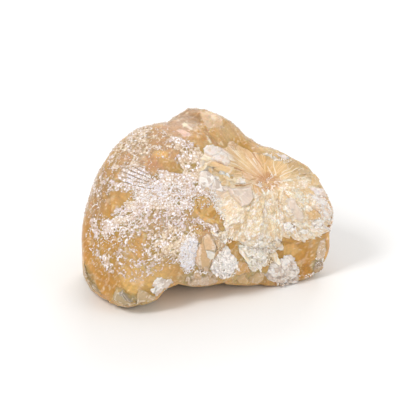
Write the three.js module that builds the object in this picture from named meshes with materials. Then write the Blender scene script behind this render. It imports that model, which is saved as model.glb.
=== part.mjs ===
// Raw aragonite: one palm-sized lump of honey-coloured crystal that grew as a single piece.
// Millimetres, +Z up, +X along its length. The origin lies under the middle of its flat base.
//
// The skin is given by its distance from one inner point, the heart, in every direction:
//   1. rounded lobes, joined softly,
//   2. cut back by fracture planes,
//   3. roughened by long swells,
//   4. raised and sunk by the lumps, hollows and the ledge of its two faces,
//   5. trimmed to the stone's outline as seen from the front and a little above,
//   6. cut off flat at the base, on which the stone rests.

import * as THREE from 'three';
import { mergeVertices } from 'three/addons/utils/BufferGeometryUtils.js';

// The heart, above the flat base and nearly under the middle of the stone.
const HEART = new THREE.Vector3(0.0, 2.5, 18.5);

// The two faces are laid out in a tilted picture plane, whose axes are across, up and into.
const LOOK_DOWN = THREE.MathUtils.degToRad(25);
const ACROSS = new THREE.Vector3(1, 0, 0);
const UP = new THREE.Vector3(0, Math.sin(LOOK_DOWN), Math.cos(LOOK_DOWN));
const INTO = new THREE.Vector3(0, Math.cos(LOOK_DOWN), -Math.sin(LOOK_DOWN));
const EYE_DISTANCE = 385;

// Rounded lobes: the large dome, the fan's lobe, the hump behind them and the foot.
const LOBES = [
  { middle: [-10.5, -3.0, -2.2], half: [22.2, 22.0, 26.3] },
  { middle: [12.0, 4.0, -6.5], half: [22.0, 18.6, 22.8] },
  { middle: [-1.5, 7.5, 9.4], half: [14.8, 13.8, 15.4] },
  { middle: [-14.0, -6.0, -9.0], half: [19.8, 18.2, 18.5] },
];
const LOBE_BLEND = 2.5;

// Fracture planes: outward direction, and distance from the heart.
const FRACTURES = [
  { outward: [0.34, -0.86, 0.36], distance: 16.0 },
  { outward: [0.4, -0.9, -0.15], distance: 16.5 },
  { outward: [0.52, 0.8, 0.28], distance: 20.0 },
  { outward: [-0.3, 0.93, 0.18], distance: 18.5 },
  { outward: [-0.78, 0.6, 0.12], distance: 25.0 },
  { outward: [0.15, 0.8, -0.58], distance: 17.5 },
  { outward: [0.88, 0.2, -0.42], distance: 31.5 },
];
const FRACTURE_BLEND = 1.6;

// Long swells: how fast each one varies along X, Y and Z, its phase and its height.
const SWELLS = [
  { rate: [0.21, 0.13, -0.17], phase: 0.4, height: 0.55 },
  { rate: [-0.11, 0.27, 0.19], phase: 1.7, height: 0.5 },
  { rate: [0.31, -0.22, 0.25], phase: 2.9, height: 0.4 },
  { rate: [0.45, 0.38, 0.12], phase: 0.9, height: 0.25 },
  { rate: [-0.36, 0.21, 0.51], phase: 4.1, height: 0.25 },
];
const FRONT_SWELL_SHARE = 0.35;

// Lumps (height above 0) and hollows (below 0) of the front face, by their middle in the picture
// plane, their half sizes, and the turn of the first half size from the across axis in degrees.
const FRONT_LUMPS = [
  { across: 1.1, up: 6.4, half: [5.5, 1.9], turn: -52, height: 1.5 }, // icy ridge
  { across: 3.9, up: 8.9, half: [5.0, 1.6], turn: -33, height: -0.9 }, // honey facet behind it
  { across: 7.8, up: 11.4, half: [7.0, 3.2], turn: -38, height: 1.0 }, // slab of fibres
  { across: 14.6, up: 6.6, half: [4.6, 4.0], turn: 0, height: -2.4 }, // eye of the fan
  { across: 9.0, up: -1.0, half: [6.0, 5.0], turn: -30, height: 0.9 }, // left half of the fan
  { across: 24.0, up: -1.0, half: [6.0, 6.0], turn: 0, height: 1.2 }, // right half of the fan
  { across: -10.1, up: 11.1, half: [4.4, 2.2], turn: -25, height: -1.1 }, // honey pocket
  { across: -0.6, up: -0.6, half: [3.8, 2.0], turn: -50, height: -1.3 }, // honey window
  { across: -0.1, up: -10.6, half: [5.0, 2.6], turn: 78, height: 0.9 }, // brown crystal
  { across: 4.1, up: -13.3, half: [3.8, 3.6], turn: 0, height: 1.3 }, // sugary cluster
  { across: 10.2, up: -12.8, half: [3.2, 2.8], turn: 20, height: 0.9 }, // cream shards
  { across: 18.1, up: -15.6, half: [4.4, 4.0], turn: 15, height: 2.0 }, // ice lump
  { across: 27.6, up: -14.0, half: [2.4, 3.0], turn: 60, height: 0.9 }, // right foot crystals
  { across: -11.6, up: -19.4, half: [3.2, 3.2], turn: 0, height: 1.3 }, // left foot crystals
];

// The same for the back face, seen through the stone from the front.
const BACK_LUMPS = [
  { across: -17.0, up: 2.0, half: [6.5, 4.0], turn: 35, height: -1.5 },
  { across: -6.0, up: -6.0, half: [8.0, 3.5], turn: -20, height: 1.5 },
  { across: -22.0, up: -10.0, half: [5.0, 4.0], turn: 70, height: 1.3 },
  { across: 4.0, up: 9.0, half: [6.0, 3.5], turn: -50, height: -1.2 },
  { across: 14.0, up: -2.0, half: [7.0, 4.0], turn: 15, height: 1.3 },
  { across: 22.0, up: 3.5, half: [4.5, 3.0], turn: -30, height: -1.2 },
  { across: 8.0, up: -12.0, half: [6.0, 3.0], turn: 10, height: -1.3 },
];

// The fan ends below in an overhanging rim, and the amber wall under it stands back.
const RIM = [
  [3.6, -4.4],
  [5.1, -7.1],
  [8.1, -8.4],
  [15.1, -9.1],
  [16.9, -7.6],
  [24.4, -8.6],
  [30.1, -5.1],
];
const LEDGE_DEPTH = 1.7;
const LEDGE_RISE = 1.4;
const LEDGE_START = 4;
const LEDGE_FULL = 18;

// Outline of the whole stone in the picture plane, anticlockwise from its right-hand end.
const OUTLINE = [
  [31.2, 0.0],
  [29.7, 3.4],
  [27.3, 7.4],
  [25.1, 10.2],
  [21.3, 12.3],
  [13.1, 15.4],
  [9.5, 17.9],
  [6.5, 20.8],
  [3.0, 23.0],
  [-1.0, 24.5],
  [-4.6, 24.7],
  [-7.9, 22.8],
  [-9.9, 21.2],
  [-17.4, 19.6],
  [-21.2, 17.0],
  [-24.7, 13.0],
  [-29.2, 3.3],
  [-31.3, -11.0],
  [-31.0, -17.0],
  [-29.0, -20.8],
  [-24.6, -23.4],
  [-20.2, -24.9],
  [-12.6, -23.1],
  [-10.4, -20.3],
  [-7.2, -19.1],
  [-3.5, -19.8],
  [0.5, -19.5],
  [4.0, -18.7],
  [8.5, -19.3],
  [13.5, -19.3],
  [19.0, -19.6],
  [26.0, -17.1],
  [29.1, -15.3],
  [30.4, -11.5],
  [30.4, -6.4],
  [31.4, -3.0],
];
const OUTLINE_BLEND = 1.2;

const BASE_BLEND = 0.8;

const GRID_STEPS = 26; // squares along each edge of the cube that is blown up into the skin

const STONE_COLOUR = new THREE.Color().setRGB(0.85, 0.75, 0.62, THREE.SRGBColorSpace);
const STONE_ROUGHNESS = 0.5;

function softMin(a, b, blend) {
  const overlap = Math.max(blend - Math.abs(a - b), 0) / blend;
  return Math.min(a, b) - (overlap * overlap * blend) / 4;
}

function softMax(a, b, blend) {
  return -softMin(-a, -b, blend);
}

// Distance from the heart to the far side of an ellipsoid that holds it.
function lobeRadius(direction, lobe) {
  const half = new THREE.Vector3(...lobe.half);
  const ray = direction.clone().divide(half);
  const middle = new THREE.Vector3(...lobe.middle).divide(half);
  const a = ray.dot(ray);
  const b = ray.dot(middle);
  const c = middle.dot(middle) - 1;
  return (b + Math.sqrt(b * b - a * c)) / a;
}

// Distance from the heart to a fracture plane, or far away where the ray leaves it behind.
function fractureRadius(direction, fracture) {
  const outward = new THREE.Vector3(...fracture.outward).normalize();
  return fracture.distance / Math.max(direction.dot(outward), 0.001);
}

function swellHeight(point) {
  let height = 0;
  for (const swell of SWELLS) {
    height += swell.height * Math.sin(point.dot(new THREE.Vector3(...swell.rate)) + swell.phase);
  }
  return height;
}

// Sum of bell-shaped lumps at a place of the picture plane.
function lumpHeight(across, up, lumps) {
  let height = 0;
  for (const lump of lumps) {
    const turn = THREE.MathUtils.degToRad(lump.turn);
    const right = across - lump.across;
    const rise = up - lump.up;
    const along = (right * Math.cos(turn) + rise * Math.sin(turn)) / lump.half[0];
    const aside = (rise * Math.cos(turn) - right * Math.sin(turn)) / lump.half[1];
    height += lump.height * Math.exp(-along * along - aside * aside);
  }
  return height;
}

// Straight-line interpolation in a list of [place, value] pairs that rises in place.
function interpolate(place, pairs) {
  const next = pairs.findIndex((pair) => pair[0] > place);
  if (next === 0) return pairs[0][1];
  if (next === -1) return pairs[pairs.length - 1][1];
  const [placeA, valueA] = pairs[next - 1];
  const [placeB, valueB] = pairs[next];
  return valueA + ((valueB - valueA) * (place - placeA)) / (placeB - placeA);
}

// How far the wall under the fan's rim stands back.
function ledgeDepth(across, up) {
  const below = interpolate(across, RIM) - up;
  const share = THREE.MathUtils.smoothstep(across, LEDGE_START, LEDGE_FULL);
  return LEDGE_DEPTH * share * THREE.MathUtils.smoothstep(below, 0, LEDGE_RISE);
}

// The outline as pairs of angle and radius about the heart, with one turn more at each end.
function polarOutline() {
  const turn = 2 * Math.PI;
  const pairs = OUTLINE.map(([across, up]) => [
    (Math.atan2(up, across) + turn) % turn,
    Math.hypot(across, up),
  ]);
  pairs.sort((first, second) => first[0] - second[0]);
  const before = pairs.map(([angle, radius]) => [angle - turn, radius]);
  const after = pairs.map(([angle, radius]) => [angle + turn, radius]);
  return [...before, ...pairs, ...after];
}
const POLAR_OUTLINE = polarOutline();

// Distance from the heart at which a ray meets the cone of sight along the outline.
function outlineRadius(direction) {
  const across = direction.dot(ACROSS);
  const up = direction.dot(UP);
  const into = direction.dot(INTO);
  const radius = interpolate((Math.atan2(up, across) + 2 * Math.PI) % (2 * Math.PI), POLAR_OUTLINE);
  return radius / Math.max(Math.hypot(across, up) - (radius * into) / EYE_DISTANCE, 0.001);
}

function skinRadius(direction) {
  let radius = lobeRadius(direction, LOBES[0]);
  for (const lobe of LOBES.slice(1)) {
    radius = softMax(radius, lobeRadius(direction, lobe), LOBE_BLEND);
  }
  for (const fracture of FRACTURES) {
    radius = softMin(radius, fractureRadius(direction, fracture), FRACTURE_BLEND);
  }

  const into = direction.dot(INTO);
  const back = THREE.MathUtils.clamp(2 * into, 0, 1);
  const swell = swellHeight(direction.clone().multiplyScalar(radius));
  radius += swell * THREE.MathUtils.lerp(FRONT_SWELL_SHARE, 1, back);

  const nearness = EYE_DISTANCE / (EYE_DISTANCE + radius * into);
  const across = radius * direction.dot(ACROSS) * nearness;
  const up = radius * direction.dot(UP) * nearness;
  const front = THREE.MathUtils.smoothstep(-into, 0, 0.3);
  radius += front * (lumpHeight(across, up, FRONT_LUMPS) - ledgeDepth(across, up));
  radius += THREE.MathUtils.smoothstep(into, 0, 0.3) * lumpHeight(across, up, BACK_LUMPS);

  radius = softMin(radius, outlineRadius(direction), OUTLINE_BLEND);
  const floorRadius = HEART.z / Math.max(-direction.z, 0.001);
  return softMin(radius, floorRadius, BASE_BLEND);
}

// A cube's grid, bulged so that its squares look alike from its middle, becomes the skin.
function stoneGeometry() {
  const box = new THREE.BoxGeometry(2, 2, 2, GRID_STEPS, GRID_STEPS, GRID_STEPS);
  box.deleteAttribute('normal');
  box.deleteAttribute('uv');
  const geometry = mergeVertices(box);
  const positions = geometry.getAttribute('position');
  for (let index = 0; index < positions.count; index += 1) {
    const direction = new THREE.Vector3().fromBufferAttribute(positions, index);
    direction.set(...direction.toArray().map((side) => Math.tan((side * Math.PI) / 4)));
    direction.normalize();
    const point = direction.clone().multiplyScalar(skinRadius(direction)).add(HEART);
    positions.setXYZ(index, point.x, point.y, point.z);
  }
  geometry.computeVertexNormals();
  return geometry;
}

const stone = new THREE.Group();
const aragonite = new THREE.Mesh(
  stoneGeometry(),
  new THREE.MeshStandardMaterial({ color: STONE_COLOUR, roughness: STONE_ROUGHNESS, metalness: 0 }),
);
aragonite.name = 'aragonite';
stone.add(aragonite);

export default stone;
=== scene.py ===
from itertools import product

import bpy
import numpy as np
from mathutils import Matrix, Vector


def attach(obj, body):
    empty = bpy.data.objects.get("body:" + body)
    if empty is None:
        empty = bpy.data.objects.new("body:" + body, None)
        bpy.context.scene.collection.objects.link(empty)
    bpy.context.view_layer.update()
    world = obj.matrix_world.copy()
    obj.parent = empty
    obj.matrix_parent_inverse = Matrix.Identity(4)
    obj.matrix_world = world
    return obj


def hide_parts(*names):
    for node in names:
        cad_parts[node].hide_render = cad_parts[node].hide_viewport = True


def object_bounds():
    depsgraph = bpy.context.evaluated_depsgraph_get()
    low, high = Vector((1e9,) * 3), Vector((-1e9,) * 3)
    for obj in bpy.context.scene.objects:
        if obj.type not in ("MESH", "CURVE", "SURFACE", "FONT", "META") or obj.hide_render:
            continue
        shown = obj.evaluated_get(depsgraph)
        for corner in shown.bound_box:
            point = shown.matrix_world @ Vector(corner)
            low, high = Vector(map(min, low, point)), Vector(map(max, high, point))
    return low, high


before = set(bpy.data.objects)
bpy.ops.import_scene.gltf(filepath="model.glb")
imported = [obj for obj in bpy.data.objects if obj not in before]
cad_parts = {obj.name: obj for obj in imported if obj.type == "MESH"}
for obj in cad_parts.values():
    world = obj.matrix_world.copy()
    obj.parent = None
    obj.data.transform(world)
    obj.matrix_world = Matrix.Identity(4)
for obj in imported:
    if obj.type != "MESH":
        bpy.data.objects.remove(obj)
cad_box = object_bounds()

# ---------------------------------------------------------------------------------------------
# The studio: a sheet of white paper, a wide soft lamp from the upper left, weaker ones from the
# right and from behind, and light from all around. The camera looks down at the fan side.
# ---------------------------------------------------------------------------------------------
MM = 0.001
HEART = np.array([0.0, 2.5, 18.5])  # the inner point that the skin is measured from, in mm
LOOK_DOWN = np.radians(25.0)
ACROSS = np.array([1.0, 0.0, 0.0])
UP = np.array([0.0, np.sin(LOOK_DOWN), np.cos(LOOK_DOWN)])
INTO = np.array([0.0, np.cos(LOOK_DOWN), -np.sin(LOOK_DOWN)])
EYE_DISTANCE = 385.0
SEEN_WIDTH = 104.0  # how wide a strip the camera sees at the heart's distance
SENSOR_WIDTH = 36.0
PIXEL = SEEN_WIDTH / 416  # of a picture 416 pixels wide, at the heart's distance


def colour(red, green, blue):
    """Scene-linear colour with alpha, from red, green and blue as 0 to 255 on a screen."""
    shown = np.array([red, green, blue]) / 255
    linear = np.where(shown > 0.04045, ((shown + 0.055) / 1.055) ** 2.4, shown / 12.92)
    return (*linear, 1.0)


def aim(thing, place, target):
    """Puts a lamp or camera at a place and turns its -Z axis to the target, both in mm."""
    thing.location = Vector(place) * MM
    thing.rotation_mode = "QUATERNION"
    thing.rotation_quaternion = Vector(np.subtract(target, place)).to_track_quat("-Z", "Y")


def add_object(name, data):
    """Links a mesh, lamp or camera into the scene under a name, and gives its object."""
    piece = bpy.data.objects.new(name, data)
    bpy.context.scene.collection.objects.link(piece)
    return piece


camera = add_object("camera", bpy.data.cameras.new("camera"))
camera.data.sensor_width = SENSOR_WIDTH
camera.data.lens = SENSOR_WIDTH * EYE_DISTANCE / SEEN_WIDTH
looked_at = HEART + PIXEL / 2 * (ACROSS - UP)
aim(camera, looked_at - EYE_DISTANCE * INTO, looked_at)
bpy.context.scene.camera = camera

LAMPS = {  # place and size in mm, power in watts
    "key_lamp": ((-420, -420, 620), 220, 3.2),
    "fill_lamp": ((520, -380, 260), 500, 1.0),
    "back_lamp": ((80, 520, 420), 400, 1.2),
}
for name, (place, size, power) in LAMPS.items():
    lamp = add_object(name, bpy.data.lights.new(name, "AREA"))
    lamp.data.size = size * MM
    lamp.data.energy = power
    aim(lamp, place, HEART)

ROOM_COLOUR, ROOM_STRENGTH = (1.0, 0.99, 0.975, 1.0), 0.66
world = bpy.data.worlds.new("soft_room")
world.use_nodes = True
room_light = world.node_tree.nodes["Background"]
room_light.inputs["Color"].default_value = ROOM_COLOUR
room_light.inputs["Strength"].default_value = ROOM_STRENGTH
bpy.context.scene.world = world
bpy.context.scene.view_settings.view_transform = "Standard"

FLOOR_HALF = 3000.0
floor_corners = FLOOR_HALF * MM * np.array([(-1, -1, 0), (1, -1, 0), (1, 1, 0), (-1, 1, 0)])
floor_mesh = bpy.data.meshes.new("paper_floor")
floor_mesh.from_pydata(floor_corners, [], [(0, 1, 2, 3)])
paper = bpy.data.materials.new("white_paper")
paper.use_nodes = True
paper_shader = paper.node_tree.nodes["Principled BSDF"]
paper_shader.inputs["Base Color"].default_value = colour(247, 247, 247)
paper_shader.inputs["Roughness"].default_value = 0.9
paper_shader.inputs["Specular IOR Level"].default_value = 0.1
floor_mesh.materials.append(paper)
floor = add_object("floor", floor_mesh)

# ---------------------------------------------------------------------------------------------
# The lump: honey-coloured aragonite that grew as one piece and broke loose. Its skin is the same
# distance from the heart in every direction as that of the solid that it stands for: soft lobes
# cut by old fractures. Finer breaks, growth rings and grain are laid over it.
# ---------------------------------------------------------------------------------------------
LOBES = [  # middle and half sizes: the dome, the fan's lobe, the hump behind them, the foot
    ((-10.5, -3.0, -2.2), (22.2, 22.0, 26.3)),
    ((12.0, 4.0, -6.5), (22.0, 18.6, 22.8)),
    ((-1.5, 7.5, 9.4), (14.8, 13.8, 15.4)),
    ((-14.0, -6.0, -9.0), (19.8, 18.2, 18.5)),
]
FRACTURES = [  # outward direction and distance from the heart
    ((0.34, -0.86, 0.36), 16.0),
    ((0.4, -0.9, -0.15), 16.5),
    ((0.52, 0.8, 0.28), 20.0),
    ((-0.3, 0.93, 0.18), 18.5),
    ((-0.78, 0.6, 0.12), 25.0),
    ((0.15, 0.8, -0.58), 17.5),
    ((0.88, 0.2, -0.42), 31.5),
]
SWELLS = [  # how fast each one varies along X, Y and Z, its phase and its height
    ((0.21, 0.13, -0.17), 0.4, 0.55),
    ((-0.11, 0.27, 0.19), 1.7, 0.5),
    ((0.31, -0.22, 0.25), 2.9, 0.4),
    ((0.45, 0.38, 0.12), 0.9, 0.25),
    ((-0.36, 0.21, 0.51), 4.1, 0.25),
]
FRONT_LUMPS = [  # middle as seen from the front, half sizes, turn in degrees, height
    ((1.1, 6.4), (5.5, 1.9), -52, 1.5),
    ((3.9, 8.9), (5.0, 1.6), -33, -0.9),
    ((7.8, 11.4), (7.0, 3.2), -38, 1.0),
    ((14.6, 6.6), (4.6, 4.0), 0, -2.4),
    ((9.0, -1.0), (6.0, 5.0), -30, 0.9),
    ((24.0, -1.0), (6.0, 6.0), 0, 1.2),
    ((-10.1, 11.1), (4.4, 2.2), -25, -1.1),
    ((-0.6, -0.6), (3.8, 2.0), -50, -1.3),
    ((-0.1, -10.6), (5.0, 2.6), 78, 0.9),
    ((4.1, -13.3), (3.8, 3.6), 0, 1.3),
    ((10.2, -12.8), (3.2, 2.8), 20, 0.9),
    ((18.1, -15.6), (4.4, 4.0), 15, 2.0),
    ((27.6, -14.0), (2.4, 3.0), 60, 0.9),
    ((-11.6, -19.4), (3.2, 3.2), 0, 1.3),
]
BACK_LUMPS = [  # the same, on the side away from the front
    ((-17.0, 2.0), (6.5, 4.0), 35, -1.5),
    ((-6.0, -6.0), (8.0, 3.5), -20, 1.5),
    ((-22.0, -10.0), (5.0, 4.0), 70, 1.3),
    ((4.0, 9.0), (6.0, 3.5), -50, -1.2),
    ((14.0, -2.0), (7.0, 4.0), 15, 1.3),
    ((22.0, 3.5), (4.5, 3.0), -30, -1.2),
    ((8.0, -12.0), (6.0, 3.0), 10, -1.3),
]
RIM = np.array([  # the lower border of the fan, under which the front is set back
    (3.6, -4.4), (5.1, -7.1), (8.1, -8.4), (15.1, -9.1), (16.9, -7.6), (24.4, -8.6),
    (30.1, -5.1),
])
OUTLINE = np.array([  # the border of the whole stone, seen from the front
    (31.2, 0.0), (29.7, 3.4), (27.3, 7.4), (25.1, 10.2), (21.3, 12.3), (13.1, 15.4),
    (9.5, 17.9), (6.5, 20.8), (3.0, 23.0), (-1.0, 24.5), (-4.6, 24.7), (-7.9, 22.8),
    (-9.9, 21.2), (-17.4, 19.6), (-21.2, 17.0), (-24.7, 13.0), (-29.2, 3.3), (-31.3, -11.0),
    (-31.0, -17.0), (-29.0, -20.8), (-24.6, -23.4), (-20.2, -24.9), (-12.6, -23.1),
    (-10.4, -20.3), (-7.2, -19.1), (-3.5, -19.8), (0.5, -19.5), (4.0, -18.7), (8.5, -19.3),
    (13.5, -19.3), (19.0, -19.6), (26.0, -17.1), (29.1, -15.3), (30.4, -11.5), (30.4, -6.4),
    (31.4, -3.0),
])
LOBE_BLEND = 2.5
FRACTURE_BLEND = 1.6
OUTLINE_BLEND = 1.2
BASE_BLEND = 0.8
FRONT_SWELL_SHARE = 0.35
LEDGE_DEPTH, LEDGE_RISE = 1.7, 1.4
LEDGE_START, LEDGE_FULL = 4.0, 18.0
FAR, TINY = 1e9, 0.001  # more than any distance, and what a divisor is at least
NOISE_LAYERS = 3


def soft_min(first, second, blend):
    """The smaller of two values, rounded off by a parabola where they differ by under blend."""
    overlap = np.maximum(blend - np.abs(first - second), 0) / blend
    return np.minimum(first, second) - overlap**2 * blend / 4


def fade(value, start, full):
    """0 below start and 1 above full, with the smooth cubic 3t^2 - 2t^3 between them."""
    share = np.clip((value - start) / (full - start), 0, 1)
    return share * share * (3 - 2 * share)


def lobe_radius(ray, middle, half):
    """Where a ray from the heart leaves an ellipsoid: the larger root of |ray r - middle| = 1,
    with each axis measured in half sizes."""
    ray, middle = ray / half, np.divide(middle, half)
    a, b, c = (ray**2).sum(-1), ray @ middle, middle @ middle - 1
    return (b + np.sqrt(b * b - a * c)) / a


def oval(across, up, middle, half, turn=0.0):
    """1 in the middle of a turned oval, 0 on its edge and below 0 outside it."""
    cosine, sine = np.cos(np.radians(turn)), np.sin(np.radians(turn))
    right, rise = across - middle[0], up - middle[1]
    along = (right * cosine + rise * sine) / half[0]
    aside = (rise * cosine - right * sine) / half[1]
    return 1 - np.hypot(along, aside)


def lump_height(across, up, lumps):
    """Sum of bells, height times exp(-q^2), where q is 1 on each lump's oval."""
    return sum(height * np.exp(-((1 - oval(across, up, middle, half, turn)) ** 2))
               for middle, half, turn, height in lumps)


def outline_radius(angle):
    """Radius of the outline at an angle about the heart, straight between its points."""
    angles = np.arctan2(OUTLINE[:, 1], OUTLINE[:, 0]) % (2 * np.pi)
    order = np.argsort(angles)
    return np.interp(angle % (2 * np.pi), angles[order], np.hypot(*OUTLINE[order].T),
                     period=2 * np.pi)


def skin_radius(ray, ledge_share=1.0):
    """Distance from the heart to the skin: the soft union of the lobes, cut by the fractures,
    plus swells, lumps and the ledge, trimmed by the cone of sight along the outline and by the
    flat base."""
    radius = lobe_radius(ray, *LOBES[0])
    for lobe in LOBES[1:]:
        radius = -soft_min(-radius, -lobe_radius(ray, *lobe), LOBE_BLEND)
    for outward, distance in FRACTURES:
        slope = ray @ (np.array(outward) / np.linalg.norm(outward))
        radius = soft_min(radius, distance / np.maximum(slope, TINY), FRACTURE_BLEND)

    into = ray @ INTO
    swell = sum(height * np.sin(radius * (ray @ np.array(rate)) + phase)
                for rate, phase, height in SWELLS)
    back = np.clip(2 * into, 0, 1)
    radius = radius + swell * (FRONT_SWELL_SHARE + (1 - FRONT_SWELL_SHARE) * back)

    near = EYE_DISTANCE / (EYE_DISTANCE + radius * into)
    across, up = radius * (ray @ ACROSS) * near, radius * (ray @ UP) * near
    below = np.interp(across, *RIM.T) - up
    ledge = LEDGE_DEPTH * fade(across, LEDGE_START, LEDGE_FULL) * fade(below, 0, LEDGE_RISE)
    front = fade(-into, 0, 0.3)
    radius = radius + front * (lump_height(across, up, FRONT_LUMPS) - ledge_share * ledge)
    radius = radius + fade(into, 0, 0.3) * lump_height(across, up, BACK_LUMPS)

    edge = outline_radius(np.arctan2(ray @ UP, ray @ ACROSS))
    cone = np.hypot(ray @ ACROSS, ray @ UP) - edge * into / EYE_DISTANCE
    radius = soft_min(radius, edge / np.maximum(cone, TINY), OUTLINE_BLEND)
    return soft_min(radius, HEART[2] / np.maximum(-ray[..., 2], TINY), BASE_BLEND)


def unit(vectors):
    """Vectors divided by their own lengths."""
    return vectors / np.linalg.norm(vectors, axis=-1, keepdims=True)


def front_place(points):
    """Across, up and into the view from the front, of points in mm from the heart."""
    into = points @ INTO
    near = EYE_DISTANCE / (EYE_DISTANCE + into)
    return points @ ACROSS * near, points @ UP * near, into


SEEN_DEPTH = [(-18, -12, -5, 0), (11, 5, 2, -1)]  # how deep the skin is seen, by height, in mm


def seen_share(up, into):
    """1 where the skin is seen from the front, falling to 0 in the 3 mm behind its outline."""
    return fade(np.interp(up, *SEEN_DEPTH) - into, 0, 3)


def hashed(cell, seed):
    """A value from 0 to 1 for each cell of a cubic lattice, mixed from its three whole numbers
    and a seed. Another seed gives another pattern."""
    cell = cell.astype(np.int64).astype(np.uint32)
    mixed = cell[..., 0] * np.uint32(374761393) + cell[..., 1] * np.uint32(668265263)
    mixed = mixed + cell[..., 2] * np.uint32(2246822519) + np.uint32(seed * 7919 + 1)
    for shift, factor in ((15, 2246822519), (13, 3266489917), (16, 668265263)):
        mixed = (mixed ^ (mixed >> np.uint32(shift))) * np.uint32(factor)
    return (mixed ^ (mixed >> np.uint32(15))) / 2.0**32


def soft_noise(points, size, seed):
    """Hashed values at the corners of cubes of a size, blended smoothly between them."""
    cell = np.floor(points / size)
    share = points / size - cell
    share = share * share * (3 - 2 * share)
    total = 0.0
    for corner in product((0, 1), repeat=3):
        weight = np.prod(np.where(corner, share, 1 - share), axis=-1)
        total = total + weight * hashed(cell + corner, seed)
    return total


def rough_noise(points, size, seed):
    """Soft noise of a size, of half of it at half the height, and so on, from 0 to 1 in all."""
    heights = 0.5 ** np.arange(NOISE_LAYERS)
    layers = [soft_noise(points, size * height, seed + 11 * number)
              for number, height in enumerate(heights)]
    return np.tensordot(heights / heights.sum(), np.array(layers), 1)


def broken_faces(points, size, seed):
    """Random facets, one to each cell of a jittered lattice: a plane through the cell's point,
    tilted at random, gives the height, which steps where one cell ends. Also the cell's own
    random value, and how near the point is to the cell's border, 0 there."""
    home = np.floor(points / size)
    nearest = np.full(points.shape[:-1], FAR)
    second = nearest.copy()
    height, value = np.zeros_like(nearest), np.zeros_like(nearest)
    for step in product((-1, 0, 1), repeat=3):
        cell = home + step
        jitter = np.stack([hashed(cell, seed + axis) for axis in range(3)], -1)
        offset = points - (cell + jitter) * size
        distance = np.linalg.norm(offset, axis=-1)
        closer = distance < nearest
        second = np.where(closer, nearest, np.minimum(second, distance))
        slope = np.stack([hashed(cell, seed + 3 + axis) for axis in range(3)], -1) * 2 - 1
        height = np.where(closer, (offset * slope).sum(-1), height)
        value = np.where(closer, hashed(cell, seed + 6), value)
        nearest = np.where(closer, distance, nearest)
    return height, value, (second - nearest) / size


def ball_grid(steps, towards=(0.0, 0.0, 0.0)):
    """Unit vectors and four-sided faces of a cube's grid blown up into a ball, with its squares
    evened by a tangent and drawn closer together towards a side."""
    side = np.tan(np.linspace(-np.pi / 4, np.pi / 4, steps + 1))
    first, second = np.meshgrid(side, side, indexing="ij")
    corner = np.arange(steps * (steps + 1)).reshape(steps, steps + 1)[:, :-1].ravel()
    quad = np.stack([corner, corner + steps + 1, corner + steps + 2, corner + 1], 1)
    points, faces = [], []
    for axis, sign in product(range(3), (1, -1)):
        sheet = np.empty((first.size, 3))
        sheet[:, axis] = sign
        sheet[:, (axis + 1) % 3] = first.ravel() * sign
        sheet[:, (axis + 2) % 3] = second.ravel()
        faces.append(quad + len(points) * first.size)
        points.append(sheet)
    points = np.concatenate(points)
    _, kept, joined = np.unique(np.round(points * 1e6), axis=0, return_index=True,
                                return_inverse=True)
    return unit(unit(points[kept]) + towards), joined.reshape(-1)[np.concatenate(faces)]


def add_piece(name, points, faces, values):
    """A mesh object from points in mm about the heart, with values at its points as attributes:
    one number or a colour each. It rides on the stone's body."""
    points = np.clip((points + HEART) * MM, cad_box[0], cad_box[1])
    mesh = bpy.data.meshes.new(name)
    mesh.from_pydata(points, [], faces)
    mesh.shade_smooth()
    for label, value in values.items():
        kind = "FLOAT_COLOR" if value.ndim > 1 else "FLOAT"
        field = "color" if value.ndim > 1 else "value"
        attribute = mesh.attributes.new(label, kind, "POINT")
        attribute.data.foreach_set(field, np.ascontiguousarray(value, dtype=np.float32).ravel())
    piece = add_object(name, mesh)
    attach(piece, "root")
    return piece


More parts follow.
